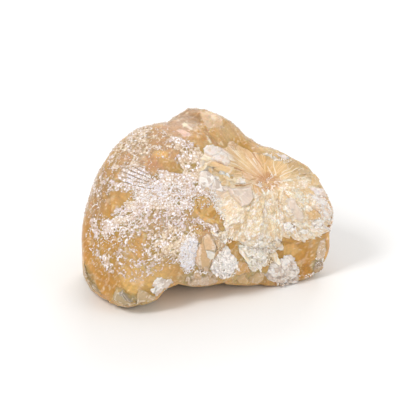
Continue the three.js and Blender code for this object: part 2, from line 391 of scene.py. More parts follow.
HONEY = {  # what the crystal looks like where it is bare
    "honey": colour(197, 153, 94),
    "amber": colour(189, 140, 68),
    "deep_amber": colour(182, 130, 54),
    "light_honey": colour(220, 177, 114),
    "gold": colour(214, 174, 106),
    "rose_tan": colour(200, 156, 118),
    "brown": colour(176, 136, 92),
    "umber": colour(168, 132, 94),
    "tan": colour(200, 168, 124),
    "beige": colour(212, 184, 152),
    "olive": colour(200, 168, 118),
    "grey_olive": colour(174, 150, 106),
    "dark_olive": colour(156, 122, 66),
    "pink": colour(224, 190, 172),
    "milk": colour(238, 222, 198),
}
HONEY_ZONES = [  # colour, middle, half sizes, turn, softness of the border, how full
    ("amber", (-26.0, -10.0), (7.0, 15.0), 0, 0.6, 0.9),
    ("amber", (-21.0, -20.5), (11.0, 4.5), 0, 0.6, 0.9),
    ("brown", (-27.5, 3.0), (4.5, 10.0), -15, 0.6, 0.8),
    ("deep_amber", (-30.0, -8.0), (3.0, 8.0), 0, 0.6, 0.9),
    ("deep_amber", (-27.0, -18.5), (6.0, 4.0), 0, 0.6, 0.9),
    ("dark_olive", (-30.0, -18.0), (2.2, 4.6), 25, 0.5, 0.9),
    ("grey_olive", (-18.0, -23.5), (7.0, 2.2), 0, 0.5, 0.8),
    ("light_honey", (-15.0, -17.0), (9.0, 5.0), 10, 0.7, 0.8),
    ("umber", (-6.0, 21.5), (7.0, 4.5), 25, 0.5, 1.0),
    ("rose_tan", (-14.0, 14.0), (14.0, 8.0), 30, 0.6, 0.9),
    ("tan", (5.5, 20.0), (9.0, 4.5), -40, 0.5, 0.9),
    ("amber", (8.5, 15.4), (4.2, 2.4), -35, 0.6, 0.8),
    ("olive", (19.5, 11.5), (9.0, 3.0), -28, 0.4, 0.9),
    ("olive", (27.5, 5.5), (3.5, 6.0), 20, 0.4, 0.7),
    ("amber", (23.0, -12.5), (8.0, 6.0), 0, 0.4, 0.9),
    ("deep_amber", (23.5, -14.5), (3.5, 3.2), 0, 0.7, 0.8),
    ("brown", (30.6, -12.0), (1.4, 5.0), 0, 0.4, 0.8),
    ("rose_tan", (-9.5, -3.5), (8.0, 4.5), 10, 0.6, 0.8),
    ("honey", (-9.2, 10.6), (4.4, 1.4), -22, 0.5, 0.9),
    ("light_honey", (-11.6, 13.0), (2.4, 1.8), -15, 0.5, 0.9),
    ("light_honey", (-0.4, -0.6), (5.0, 3.2), -50, 0.3, 1.0),
    ("rose_tan", (0.2, -10.0), (3.0, 6.5), 0, 0.4, 0.9),
    ("olive", (8.5, -17.0), (8.5, 2.8), 0, 0.5, 0.8),
    ("grey_olive", (-4.0, -18.0), (4.5, 2.2), 0, 0.5, 0.8),
    ("amber", (6.1, -9.1), (1.9, 1.8), 0, 0.4, 1.0),
]
HONEY_FACETS = [  # crisp faces: colour, how full, corners clockwise as seen from the front
    ("beige", 1.0, [(-2.1, 24.1), (2.4, 23.8), (3.6, 22.6), (4.1, 19.9), (0.1, 19.1), (-1.4, 21.4)]),
    ("milk", 0.6, [(0.4, 23.4), (2.0, 23.2), (2.4, 21.6), (1.6, 21.2), (1.0, 22.4)]),
    ("pink", 0.9, [(-8.1, 19.4), (-6.9, 19.9), (-4.6, 18.9), (-4.1, 17.9), (-5.9, 17.4)]),
    ("brown", 0.9, [(-1.9, 19.9), (-0.1, 19.1), (2.9, 15.9), (2.1, 15.1), (0.1, 16.9)]),
    ("milk", 0.8, [(-6.6, 20.9), (-5.9, 21.6), (-3.4, 19.6), (-4.1, 19.1)]),
    ("milk", 0.8, [(-0.6, 18.1), (0.1, 17.9), (1.4, 16.1), (0.6, 15.9)]),
    ("deep_amber", 0.7, [(-3.1, 2.4), (-2.0, 2.6), (-1.6, -0.6), (-1.1, -2.1), (-2.9, -0.4)]),
    ("amber", 0.8, [(1.6, -0.4), (3.1, -1.4), (3.6, -3.4), (1.9, -3.4), (-1.1, -2.1)]),
    ("honey", 0.9, [(25.9, -8.4), (30.8, -7.0), (30.8, -12.6), (26.1, -13.0)]),
    ("grey_olive", 0.9, [(26.1, -13.0), (30.8, -12.6), (30.8, -17.0), (26.3, -17.6)]),
    ("milk", 0.8, [(25.8, -9.4), (26.2, -9.2), (26.4, -15.5), (26.0, -15.5)]),
    ("deep_amber", 0.8, [(22.4, -13.6), (25.6, -9.0), (25.9, -17.4), (23.1, -18.0)]),
    ("gold", 0.9, [(-22.3, -17.1), (-20.0, -17.1), (-17.7, -18.3), (-17.1, -20.2), (-17.9, -21.7),
                   (-19.2, -21.9), (-20.7, -20.4)]),
    ("light_honey", 0.7, [(18.6, -9.6), (22.1, -8.6), (23.4, -10.9), (20.6, -13.2), (19.1, -11.9)]),
]
BROKEN_ZONES = [  # where old breaks show as facets: middle, half sizes, turn
    ((12.0, -16.0), (22.0, 5.0), 0),
    ((-19.0, -24.0), (12.0, 3.4), 0),
    ((2.0, -9.0), (8.0, 9.0), 0),
    ((2.0, 18.5), (7.0, 5.0), -30),
]


def facet_depth(across, up, corners):
    """How far inside a convex outline each place is, in mm: its least distance to the edges,
    below 0 outside. The corners run clockwise."""
    corners = np.array(corners)
    depth = np.full(across.shape, FAR)
    for corner, edge in zip(corners, np.roll(corners, -1, axis=0) - corners):
        aside = edge[1] * (across - corner[0]) - edge[0] * (up - corner[1])
        depth = np.minimum(depth, aside / np.hypot(*edge))
    return depth


def painted(tint, colours, layers):
    """Lays named colours over a tint, one after the other: each moves it by a share of the way
    from what is there to the colour."""
    for label, share in layers:
        tint = tint + share[..., None] * (np.array(colours[label]) - tint)
    return tint


LARGE_BREAK, SMALL_BREAK, CLOUD_SIZE, GRAIN_SIZE = 7.0, 2.4, 7.0, 1.2  # widths, in mm
LARGE_STEP, SMALL_STEP, GRAIN_HEIGHT, RING_HEIGHT = 0.6, 0.4, 0.1, 0.03  # heights, in mm
RINGS_FROM, RING_RATE = (-4.0, 5.0), 4.2  # the growth rings' middle, and their phase per mm


def lump_relief(skin):
    """Height of the fine relief over the skin: tilted facets where the stone is broken, growth
    rings elsewhere, grain all over and nothing at the base. Also the values that it is made of,
    which the colours follow."""
    across, up, into = front_place(skin)
    broken = fade(into, 4, 10)
    for middle, half, turn in BROKEN_ZONES:
        broken = np.maximum(broken, 0.7 * fade(oval(across, up, middle, half, turn), 0, 0.4))
    large_tilt, large_value, _ = broken_faces(skin, LARGE_BREAK, 3)
    small_tilt, small_value, _ = broken_faces(skin, SMALL_BREAK, 21)
    cloud = rough_noise(skin, CLOUD_SIZE, 5)
    grain = rough_noise(skin, GRAIN_SIZE, 9)
    reach = np.hypot(across - RINGS_FROM[0], up - RINGS_FROM[1])
    growth = np.sin(RING_RATE * reach + 16 * cloud + 6 * grain)
    facets = LARGE_STEP * np.tanh(0.27 * large_tilt) + SMALL_STEP * np.tanh(0.4 * small_tilt)
    height = broken * facets + GRAIN_HEIGHT * (grain - 0.5)
    height += (1 - broken) * RING_HEIGHT * growth
    height *= fade(skin[..., 2] + HEART[2], 0.05, 0.8)
    return height, broken, large_value, small_value, cloud, grain, growth


LUMP_STEPS = 128
CLOSER = 0.25  # how much closer the lump's points stand together in front
STREAKS = unit(np.array([  # the ways that fine lines run: on two kinds of break face, on the wall
    (0.6, -0.35, -0.7),
    (0.5, 0.3, 0.8),
    (-0.08, 0.0, 1.0),
]))
STREAK_WIDTH, STREAK_STRETCH = 0.34, 0.93
AMBER_WALL = ((24.5, -11.5), (8.0, 7.0))  # under the fan, where the lines stand upright

lump_ray, lump_faces = ball_grid(LUMP_STEPS, -CLOSER * INTO)
radius = skin_radius(lump_ray)
skin = lump_ray * radius[:, None]
relief, broken, large_value, small_value, cloud, grain, growth = lump_relief(skin)
across, up, into = front_place(skin)
front = seen_share(up, into)
veil = fade(1 - np.abs(2 * rough_noise(skin, 4.0, 15) - 1), 0.93, 1.0)
lump_points = lump_ray * (radius + relief)[:, None]

plain_honey = np.tile(HONEY["honey"], (across.size, 1))
front_tint = painted(plain_honey, HONEY, [
    (label, fullness * fade(oval(across, up, middle, half, turn) + 0.25 * (grain - 0.5), 0, softness))
    for label, middle, half, turn, softness, fullness in HONEY_ZONES])
front_tint = painted(front_tint, HONEY, [
    (label, fullness * fade(facet_depth(across, up, corners) + 0.5 * (grain - 0.5), 0, 0.25))
    for label, fullness, corners in HONEY_FACETS])
honey_tint = painted(plain_honey, HONEY, [
    ("amber", fade(cloud, 0.5, 0.7)),
    ("light_honey", fade(large_value, 0.75, 0.8)),
    ("olive", 0.7 * fade(0.25 - large_value, 0, 0.05)),
])
honey_tint = painted(honey_tint + front[:, None] * (front_tint - honey_tint), HONEY, [
    ("milk", 0.3 * veil),
    # painted glints: sparse white specks laid over the honey
    ("milk", 0.5 * fade(soft_noise(skin, 0.5, 17), 0.76, 0.88)),
])
on_wall = front * oval(across, up, *AMBER_WALL) > 0
way = STREAKS[np.where(on_wall, 2, (large_value >= 0.5).astype(int))]
along = (skin * way).sum(-1)
streaks = soft_noise(skin - STREAK_STRETCH * along[:, None] * way, STREAK_WIDTH, 33)
shade = 1 + 0.16 * (cloud - 0.5) + 0.12 * broken * (small_value - 0.5) + 0.05 * growth * (1 - broken)
shade = shade + (0.32 + 0.16 * on_wall) * (streaks - 0.5)
honey_tint[:, :3] *= shade[:, None]
honey_gloss = 0.35 + 0.5 * broken * large_value

lump = add_piece("honey_lump", lump_points, lump_faces.tolist(),
                 {"tint": honey_tint, "gloss": honey_gloss})
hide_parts("aragonite")

mineral_surface = bpy.data.node_groups.new("mineral_surface", "ShaderNodeTree")
for label in ("Grain Size", "Grain Contrast", "Dullness"):
    mineral_surface.interface.new_socket(label, in_out="INPUT", socket_type="NodeSocketFloat")
mineral_surface.interface.new_socket("Colour", in_out="OUTPUT", socket_type="NodeSocketColor")
for label in ("Roughness", "Height"):
    mineral_surface.interface.new_socket(label, in_out="OUTPUT", socket_type="NodeSocketFloat")
SPECKLE_DETAIL, SPECKLE_SWING = 4.0, 2.0
POLISH = 0.75  # how much of the dullness the gloss attribute takes away
MINERAL_IOR, MINERAL_SPECULAR = 1.6, 0.25


def value_math(operation, *sources):
    """A Math node in the mineral surface, fed by numbers or sockets; gives its output."""
    node = mineral_surface.nodes.new("ShaderNodeMath")
    node.operation = operation
    for socket, source in zip(node.inputs, sources):
        if isinstance(source, float):
            socket.default_value = source
        else:
            mineral_surface.links.new(source, socket)
    return node.outputs["Value"]


def fill_mineral_surface():
    """Colour is the tint attribute times 1 +- contrast by a fine noise, which is also the
    height; roughness is the dullness times 1 less most of the gloss attribute."""
    nodes, links = mineral_surface.nodes, mineral_surface.links
    given, result = nodes.new("NodeGroupInput"), nodes.new("NodeGroupOutput")
    tint, gloss = nodes.new("ShaderNodeAttribute"), nodes.new("ShaderNodeAttribute")
    tint.attribute_name, gloss.attribute_name = "tint", "gloss"
    place, speckle = nodes.new("ShaderNodeTexCoord"), nodes.new("ShaderNodeTexNoise")
    speckle.inputs["Detail"].default_value = SPECKLE_DETAIL
    links.new(place.outputs["Object"], speckle.inputs["Vector"])
    links.new(value_math("DIVIDE", 1.0, given.outputs["Grain Size"]), speckle.inputs["Scale"])
    swing = value_math("MULTIPLY_ADD", speckle.outputs["Fac"], 2 * SPECKLE_SWING, -SPECKLE_SWING)
    share = value_math("MULTIPLY_ADD", swing, given.outputs["Grain Contrast"], 1.0)
    varied = nodes.new("ShaderNodeVectorMath")
    varied.operation = "SCALE"
    links.new(tint.outputs["Color"], varied.inputs[0])
    links.new(share, varied.inputs["Scale"])
    links.new(varied.outputs["Vector"], result.inputs["Colour"])
    links.new(speckle.outputs["Fac"], result.inputs["Height"])
    polish = value_math("MULTIPLY_ADD", gloss.outputs["Fac"], -POLISH, 1.0)
    links.new(value_math("MULTIPLY", polish, given.outputs["Dullness"]), result.inputs["Roughness"])


fill_mineral_surface()


def mineral(name, dullness, scatter, reach, warmth, grain_size, contrast, bump_height, clear=0.0):
    """A material: the mineral surface feeds a Principled shader, whose constant values, such as
    how far light scatters and how clear it is, sit on its own sockets. Lengths are in mm."""
    material = bpy.data.materials.new(name)
    material.use_nodes = True
    nodes, links = material.node_tree.nodes, material.node_tree.links
    shader = nodes["Principled BSDF"]
    shader.inputs["IOR"].default_value = MINERAL_IOR
    shader.inputs["Specular IOR Level"].default_value = MINERAL_SPECULAR
    shader.inputs["Subsurface Weight"].default_value = scatter
    shader.inputs["Subsurface Scale"].default_value = reach * MM
    shader.inputs["Subsurface Radius"].default_value = warmth
    shader.inputs["Transmission Weight"].default_value = clear
    surface = nodes.new("ShaderNodeGroup")
    surface.node_tree = mineral_surface
    surface.inputs["Grain Size"].default_value = grain_size * MM
    surface.inputs["Grain Contrast"].default_value = contrast
    surface.inputs["Dullness"].default_value = dullness
    bump = nodes.new("ShaderNodeBump")
    bump.inputs["Distance"].default_value = bump_height * MM
    links.new(surface.outputs["Colour"], shader.inputs["Base Color"])
    links.new(surface.outputs["Roughness"], shader.inputs["Roughness"])
    links.new(surface.outputs["Height"], bump.inputs["Height"])
    links.new(bump.outputs["Normal"], shader.inputs["Normal"])
    return material


lump.data.materials.append(mineral(
    "honey_crystal", dullness=0.45, scatter=0.8, reach=4.0, warmth=(1.0, 0.5, 0.2), grain_size=0.4,
    contrast=0.1, bump_height=0.08))

# ---------------------------------------------------------------------------------------------
# The frost: a thin crust of white sugary aragonite that grew over the honey crystal. It is dense
# on the dome, lacy round it and only specks elsewhere, and where it is missing the honey shows.
# ---------------------------------------------------------------------------------------------
FROST = {
    "white": colour(252, 246, 248),
    "shell": colour(228, 214, 209),
    "lavender": colour(226, 215, 221),
    "ice": colour(238, 240, 252),
    "cream": colour(236, 216, 180),
    "honey": colour(200, 160, 114),
    "grit": colour(196, 165, 134),
}
FROST_ZONES = [  # middle, half sizes, turn, coverage in the middle, softness of the border
    ((-9.6, 3.4), (12.0, 4.6), -8, 0.86, 0.3),
    ((-8.5, 7.6), (7.5, 2.2), -12, 0.85, 0.4),
    ((-4.0, 8.5), (3.4, 4.0), 0, 0.85, 0.4),
    ((-17.0, 0.8), (8.0, 3.4), 30, 0.86, 0.35),
    ((-23.4, -3.6), (5.8, 2.6), 55, 0.82, 0.5),
    ((-21.8, 5.2), (3.6, 1.5), -25, 0.8, 0.4),
    ((-18.1, 7.6), (5.6, 4.6), -30, 0.8, 0.4),
    ((-8.0, -6.6), (10.0, 8.0), 12, 0.69, 0.4),
    ((-17.0, -4.6), (7.5, 3.0), 25, 0.6, 0.4),
    ((-8.0, -11.0), (7.0, 3.6), 12, 0.68, 0.4),
    ((-4.6, -10.4), (3.0, 6.2), -12, 0.97, 0.35),
    ((-2.5, -4.6), (5.5, 3.0), -10, 0.7, 0.4),
    ((-17.5, 14.4), (10.5, 5.2), 38, 0.52, 0.3),
    ((-16.4, 18.4), (4.8, 1.9), 25, 0.75, 0.4),
    ((-26.6, 4.4), (3.2, 9.0), -20, 0.3, 0.3),
    ((-4.2, 11.4), (4.2, 5.6), 0, 0.72, 0.4),
    ((-8.3, 16.1), (3.6, 2.0), -15, 0.85, 0.35),
    ((-28.1, -5.1), (3.4, 0.9), 100, 0.9, 0.3),
    ((-25.6, -13.6), (4.2, 1.0), -52, 0.62, 0.3),
    ((-28.0, -6.0), (3.0, 8.0), 0, 0.22, 0.3),
    ((-17.0, -11.5), (12.0, 7.0), 20, 0.3, 0.3),
    ((-11.8, 13.6), (3.0, 2.0), -15, 0.4, 0.3),
    ((1.2, -5.6), (4.5, 2.6), -20, 0.72, 0.4),
    ((-1.5, 3.4), (3.0, 3.4), 35, 0.7, 0.4),
]
FROST_GAPS = [  # bare patches: middle, half sizes, turn, how bare
    ((-9.6, 10.4), (4.2, 1.4), -22, 1.0),
    ((-0.2, -0.6), (4.4, 2.7), -50, 1.0),
    ((-2.2, -5.4), (1.5, 1.3), 0, 1.0),
    ((6.1, -9.1), (1.8, 1.7), 0, 1.0),
    ((0.5, -10.8), (3.0, 5.6), 8, 1.0),
    ((-12.6, 17.0), (3.2, 1.8), -20, 0.6),
    ((-20.6, 12.0), (2.4, 1.6), 40, 0.6),
    ((-16.0, 11.6), (1.6, 1.2), 0, 0.7),
    ((-10.5, -3.4), (4.6, 1.1), 12, 0.45),
    ((-14.5, -7.0), (4.4, 1.5), 35, 0.5),
    ((-18.9, 2.2), (1.0, 0.6), 0, 1.0),
    ((-22.3, 6.7), (1.1, 0.45), -20, 0.9),
    ((-21.4, 4.3), (0.9, 0.5), 0, 0.9),
]
TONGUE = ((-4.4, -11.6), (2.8, 5.4), -12)  # the smooth icy patch by the foot, with paler seams
FEATHER = ((-18.0, 7.4), (4.6, 3.4), -30)  # the patch of long curved strokes to the left
FROST_TINTS = [  # colour, middle, half sizes, turn, how full
    ("cream", (-3.0, 11.0), (4.6, 5.4), 0, 0.6),
    ("cream", (-9.0, -9.0), (7.0, 5.0), 0, 0.7),
    ("ice", (-13.0, 3.6), (10.0, 3.4), -4, 0.5),
    ("cream", (-17.0, 15.0), (10.0, 5.0), 38, 0.6),
    ("ice", *TONGUE, 0.95),
    ("ice", *FEATHER, 0.5),
]
CRUST_TOP, CRUST_UNDER, CRUST_EDGE = 0.14, 0.12, 0.05  # above the skin, below it, at a bare edge
FROST_GRAIN, FROST_TILT, FROST_STEP = 0.66, 0.36, 0.14  # size, and how the grains tilt and step
NET_CELL = 0.95
LACE_SIZES = (0.95, 0.48, 0.28)

COMB_FROM = np.array([-9.7, 4.4])  # the frost's streaks run out from here, seen from the front
COMB_WIDTH = 12.0
COMBED = ((-16.0, 3.0), (15.0, 7.0), 25)
COMB_SIZES = (0.75, 0.4)
FEATHER_FROM = (-1.0, 1.2)  # its strokes run out from here
FEATHER_STEP = np.radians(3.2)

DOME_AXIS = unit(np.array([-0.42, -0.86, 0.22]))
CAP_REACH, CAP_STEPS = np.radians(54.0), 340  # the fine grid of the dome's side
CAP_EDGE, CAP_OVERLAP = 0.999, 0.98
FAR_STEPS = 172


def frost_coverage(skin):
    """How much of the skin is frosted, 0 to 1: the ovals in front, drifting patches behind."""
    across, up, into = front_place(skin)
    front = seen_share(up, into)
    wobble = 0.6 * (rough_noise(skin, 2.0, 41) - 0.5)
    coverage = np.zeros(across.shape)
    for middle, half, turn, most, softness in FROST_ZONES:
        share = most * fade(oval(across, up, middle, half, turn) + wobble, 0, softness)
        coverage = np.maximum(coverage, share)
    for middle, half, turn, bareness in FROST_GAPS:
        coverage *= 1 - bareness * fade(oval(across, up, middle, half, turn) + wobble, 0, 0.12)
    coverage = coverage * (1 + 0.7 * (rough_noise(skin, 3.2, 45) - 0.5)) * (1 - fade(across, 4, 9))
    patches = 0.74 * fade(rough_noise(skin, 7.0, 43), 0.44, 0.74)
    coverage = front * coverage + (1 - seen_share(up, into - 4)) * patches
    return coverage * fade(skin[..., 2] + HEART[2], 0.6, 2.0)


def frost_lace(skin):
    """The pattern that the frost is cut out by, 0 to 1: a net about the cells of a lattice,
    roughened by noise, combed into rays about one point in front, and into a feather of long
    strokes in one patch."""
    across, up, into = front_place(skin)
    net = fade(broken_faces(skin, NET_CELL, 57)[2], 0.0, 0.5)
    plain = 0.34 * soft_noise(skin, LACE_SIZES[0], 51) + 0.36 * soft_noise(skin, LACE_SIZES[1], 52)
    fine = soft_noise(skin, LACE_SIZES[2], 53)
    right, rise = across - COMB_FROM[0], up - COMB_FROM[1]
    reach = np.hypot(right, rise) + 0.01
    spread = COMB_WIDTH / reach
    ray = np.stack([right * spread, rise * spread, 0.33 * reach], -1)
    combed = 0.4 * soft_noise(ray, COMB_SIZES[0], 54) + 0.3 * soft_noise(ray, COMB_SIZES[1], 55)
    comb = 0.6 * fade(-into, 0, 3) * fade(oval(across, up, *COMBED), 0, 0.3)
    lace = fade(plain + comb * (combed - plain) + 0.3 * fine, 0.28, 0.72)
    lace += 0.6 * (1 - comb) * fade(rough_noise(skin, 4.0, 58), 0.35, 0.6) * (net - lace)

    bend = 4.0 * soft_noise(ray, 2.5, 56) + 3.0 * soft_noise(skin, 1.7, 59)
    angle = np.arctan2(up - FEATHER_FROM[1], FEATHER_FROM[0] - across)
    stroke = 0.5 + 0.5 * np.cos(2 * np.pi * angle / FEATHER_STEP + bend)
    feather = fade(-into, 0, 3) * fade(oval(across, up, *FEATHER), 0, 0.25)
    return lace + feather * (stroke**2.4 + 0.1 * lace - lace)


def frost_crust(name, ray, faces, hidden):
    """Frost along rays, in closed islands: a top of tilted grains over the skin wherever the
    coverage passes the lace, and an underside just below the skin, joined along the bare edge.
    Where it is hidden there is none."""
    radius = skin_radius(ray)
    skin = ray * radius[:, None]
    excess = frost_coverage(skin) * (1 - hidden) - frost_lace(skin)
    frosted = excess > 0
    kept = faces[frosted[faces].any(axis=1)]
    used = np.unique(kept)
    ray, skin, excess, frosted = ray[used], skin[used], excess[used], frosted[used]
    radius = radius[used] + lump_relief(skin)[0]

    tilt, value, border = broken_faces(skin, FROST_GRAIN, 61)
    seam = fade(0.22 - border, 0, 0.16)
    top = 0.03 + CRUST_TOP * fade(excess, 0, 0.3) + FROST_TILT * tilt + FROST_STEP * (value - 0.5)
    top = np.where(frosted, np.maximum(top - 0.05 * seam, 0.01), -CRUST_EDGE)

    across, up, _ = front_place(skin)
    drift = rough_noise(skin, 2.2, 62)
    creamy = fade(rough_noise(skin, 3.0, 71), 0.5, 0.75)
    gritty = 0.85 - 0.5 * fade(oval(across, up, *TONGUE), 0, 0.3)
    # grains picked at random turn white, partly grain tone and partly painted highlight, and others
    # lavender, partly grain tone and partly painted shade
    tint = painted(np.tile(FROST["shell"], (used.size, 1)), FROST, [
        ("white", fade(0.8 * value + 0.6 * drift, 0.64, 0.8)),
        ("lavender", fade(0.56 - 0.8 * value - 0.6 * drift, 0, 0.1)),
        ("cream", 0.6 * creamy * fade(0.85 - value, 0, 0.3)),
    ])
    for label, middle, half, turn, fullness in FROST_TINTS:
        share = fade(oval(across, up, middle, half, turn) + 0.6 * (drift - 0.5), 0, 0.3)
        tint = painted(tint, FROST, [(label, fullness * share * fade(0.9 - value, 0, 0.3))])
    tint = painted(tint, FROST, [
        ("honey", 0.5 * fade(0.05 - excess, 0, 0.05)),
        ("grit", gritty * seam),
        ("grit", gritty * fade(soft_noise(skin, 0.34, 72), 0.62, 0.76)),
    ])

    points = np.concatenate([ray * (radius + top)[:, None],
                             (ray * (radius - CRUST_UNDER)[:, None])[frosted]])
    top_index = np.zeros(faces.max() + 1, int)
    top_index[used] = np.arange(used.size)
    under_index = top_index.copy()
    under_index[used[frosted]] = used.size + np.arange(frosted.sum())
    sheets = np.concatenate([top_index[kept], under_index[kept][:, ::-1]])
    return add_piece(name, points, sheets.tolist(), {
        "tint": np.concatenate([tint, tint[frosted]]),
        "gloss": np.concatenate([value, value[frosted]]),
    })


def sheet_faces(index):
    """Four-sided faces of a grid of numbered points, anticlockwise if its first direction runs
    to the right and its second one up."""
    corners = [index[:-1, :-1], index[1:, :-1], index[1:, 1:], index[:-1, 1:]]
    return np.stack(corners, -1).reshape(-1, 4)


cap_side = np.tan(np.linspace(-CAP_REACH, CAP_REACH, CAP_STEPS + 1))
cap_right = unit(np.cross(UP, DOME_AXIS))
cap_up = np.cross(DOME_AXIS, cap_right)
cap_ray = unit(DOME_AXIS + cap_side[:, None, None] * cap_right + cap_side[:, None] * cap_up)
cap_ray = cap_ray.reshape(-1, 3)
cap_faces = sheet_faces(np.arange(len(cap_ray)).reshape(CAP_STEPS + 1, CAP_STEPS + 1))


def cap_place(ray):
    """How far out on the cap a ray is: 0 on its axis, 1 on its four-sided edge."""
    aside = np.maximum(np.abs(ray @ cap_right), np.abs(ray @ cap_up))
    return aside / np.maximum(ray @ DOME_AXIS, TINY) / np.tan(CAP_REACH)


dome_frost = frost_crust("dome_frost", cap_ray, cap_faces, cap_place(cap_ray) > CAP_EDGE)
far_ray, far_faces = ball_grid(FAR_STEPS)
far_frost = frost_crust("far_frost", far_ray, far_faces, cap_place(far_ray) < CAP_OVERLAP)

frost_material = mineral(
    "sugary_frost", dullness=0.5, scatter=0.3, reach=0.1, warmth=(1.0, 0.9, 0.8), grain_size=0.2,
    contrast=0.1, bump_height=0.04)
for piece in (dome_frost, far_frost):
    piece.data.materials.append(frost_material)

# ---------------------------------------------------------------------------------------------
# The fan: a spray of cream and tan aragonite blades that grew over the lump from one sunken eye.
# To the upper left they are long clear fibres. Below they are sugary, and they end in a toothed
# rim that stands out over the amber wall.
# ---------------------------------------------------------------------------------------------
EYE = np.array([14.6, 6.6])  # where the blades start, seen from the front
FAN = {
    "cream": colour(244, 232, 212),
    "yellow": colour(246, 230, 200),
    "white": colour(249, 242, 236),
    "lavender": colour(234, 222, 218),
    "grey": colour(228, 212, 194),
    "peach": colour(218, 180, 138),
    "tan": colour(226, 197, 154),
    "honey": colour(216, 178, 124),
    "amber": colour(206, 160, 98),
    "olive": colour(202, 172, 128),
    "rust": colour(188, 136, 90),
}
FAN_EDGE = np.array([  # angle about the eye in degrees, and reach
    (10, 11.4), (22, 10.0), (35, 8.6), (50, 7.8), (70, 7.5), (90, 7.0), (104, 7.2), (116, 8.1),
    (125, 10.8), (133, 13.8), (142, 13.9), (146, 15.6), (152, 17.9), (160, 17.9), (172, 17.6),
    (182, 17.0), (188, 15.9), (192, 14.4), (197, 14.0), (202, 14.2), (208, 14.8), (222, 14.9), (234, 16.8),
    (246, 16.3), (264, 15.8), (274, 15.3), (283, 15.2), (286, 14.2), (293, 15.2), (302, 17.6),
    (313, 19.1), (322, 19.4), (333, 18.6), (344, 16.2), (355, 13.6),
])
RIM_ANGLES = (228, 336)
FAN_LIFT = 0.45
FAN_ZONES = [  # colour, middle and half sizes in degrees and mm about the eye, softness, fullness
    ("tan", (138, 8), (24, 12), 0.3, 1.0),
    ("cream", (134, 12), (6, 3.0), 0.5, 0.2),
    ("lavender", (150, 14), (9, 4.5), 0.4, 0.9),
    ("honey", (166, 10), (8, 8), 0.4, 0.8),
    ("honey", (62, 6), (54, 12), 0.2, 1.0),
    ("olive", (38, 10), (32, 6), 0.5, 1.0),
    ("olive", (12, 12), (14, 5), 0.5, 0.9),
    ("honey", (345, 11), (9, 3), 0.5, 0.5),
    ("lavender", (186, 14.5), (16, 6), 0.3, 0.8),
    ("cream", (212, 13), (12, 4), 0.3, 0.8),
    ("yellow", (250, 9), (26, 7), 0.5, 0.8),
    ("yellow", (276, 11), (8, 7), 0.5, 0.8),
    ("olive", (283, 8), (3, 6), 0.5, 0.5),
    ("grey", (298, 10), (10, 6), 0.5, 0.8),
    ("yellow", (335, 8), (14, 4), 0.5, 0.7),
    ("tan", (0, 6), (16, 4), 0.5, 0.7),
    ("lavender", (335, 16.5), (24, 4.5), 0.5, 0.9),
    ("cream", (235, 15), (12, 3), 0.5, 0.6),
    ("grey", (264, 14), (8, 2), 0.5, 0.6),
    ("peach", (118, 7), (14, 6), 0.6, 0.7),
    ("peach", (150, 2), (60, 3.5), 0.6, 0.9),
    ("amber", (82, 4.4), (16, 2.4), 0.5, 0.7),
    ("tan", (238, 14.0), (9, 2.2), 0.5, 0.7),
    ("grey", (331, 12.5), (8, 4), 0.5, 0.8),
    # painted light: a white band along the rim, lightening its downward face, which lies in shade
    ("white", (262, 15.2), (36, 2.6), 0.5, 0.6),
]
FAN_LINES = [  # colour, start and end as seen from the front, half width, height
    ("rust", (0.4, 11.6), (7.4, 9.7), 0.12, -0.1),
    ("rust", (6.8, 9.7), (12.0, 7.6), 0.2, -0.25),
    ("rust", (7.0, 5.4), (11.0, 5.8), 0.18, -0.2),
    ("rust", (10.9, 13.8), (14.0, 9.4), 0.14, -0.1),
    ("honey", (17.6, 3.8), (17.6, -7.6), 0.18, -0.2),
    ("honey", (18.7, 3.8), (23.7, -2.2), 0.16, -0.15),
    ("honey", (21.2, 1.9), (24.0, -1.3), 0.16, -0.15),
    ("rust", (26.5, -0.6), (29.0, -2.2), 0.16, -0.15),
    ("honey", (13.7, -0.4), (13.6, -3.3), 0.14, -0.15),
    ("honey", (16.8, 0.6), (17.0, -5.2), 0.12, -0.1),
    ("tan", (10.4, 1.2), (9.0, -6.0), 0.14, -0.15),
    ("honey", (25.2, 5.7), (28.8, 5.0), 0.14, -0.1),
    ("cream", (18.0, 7.6), (23.2, 10.1), 0.14, 0.1),
    ("cream", (18.4, 8.4), (21.0, 10.4), 0.1, 0.05),
    ("cream", (17.0, 8.0), (16.2, 11.4), 0.14, 0.1),
    ("cream", (16.2, 7.8), (14.8, 10.2), 0.12, 0.1),
    ("white", (13.2, 4.4), (14.0, 3.0), 0.24, 0.2),
    ("white", (14.9, 4.2), (14.3, 3.0), 0.2, 0.2),
    ("cream", (15.6, 3.8), (16.2, 0.6), 0.25, 0.2),
    ("cream", (18.2, 4.4), (17.8, 1.6), 0.25, 0.2),
    ("white", (11.2, 12.2), (12.2, 10.6), 0.14, 0.1),
]
EYE_BED = ((15.2, 6.2), (4.4, 3.2), 0)  # the brown hollow that the blades rise from
FIBROUS = (138, 26)  # the middle and half width, in degrees, of the wing of long fibres
SUGARY = (196, 368)  # the angles between which the blades are sugary
SIGHT_DEPTHS, SIGHT_HALVINGS = (-36.0, 8.0), 18
SIGHT_EDGE = 0.985  # places are kept within this share of the outline


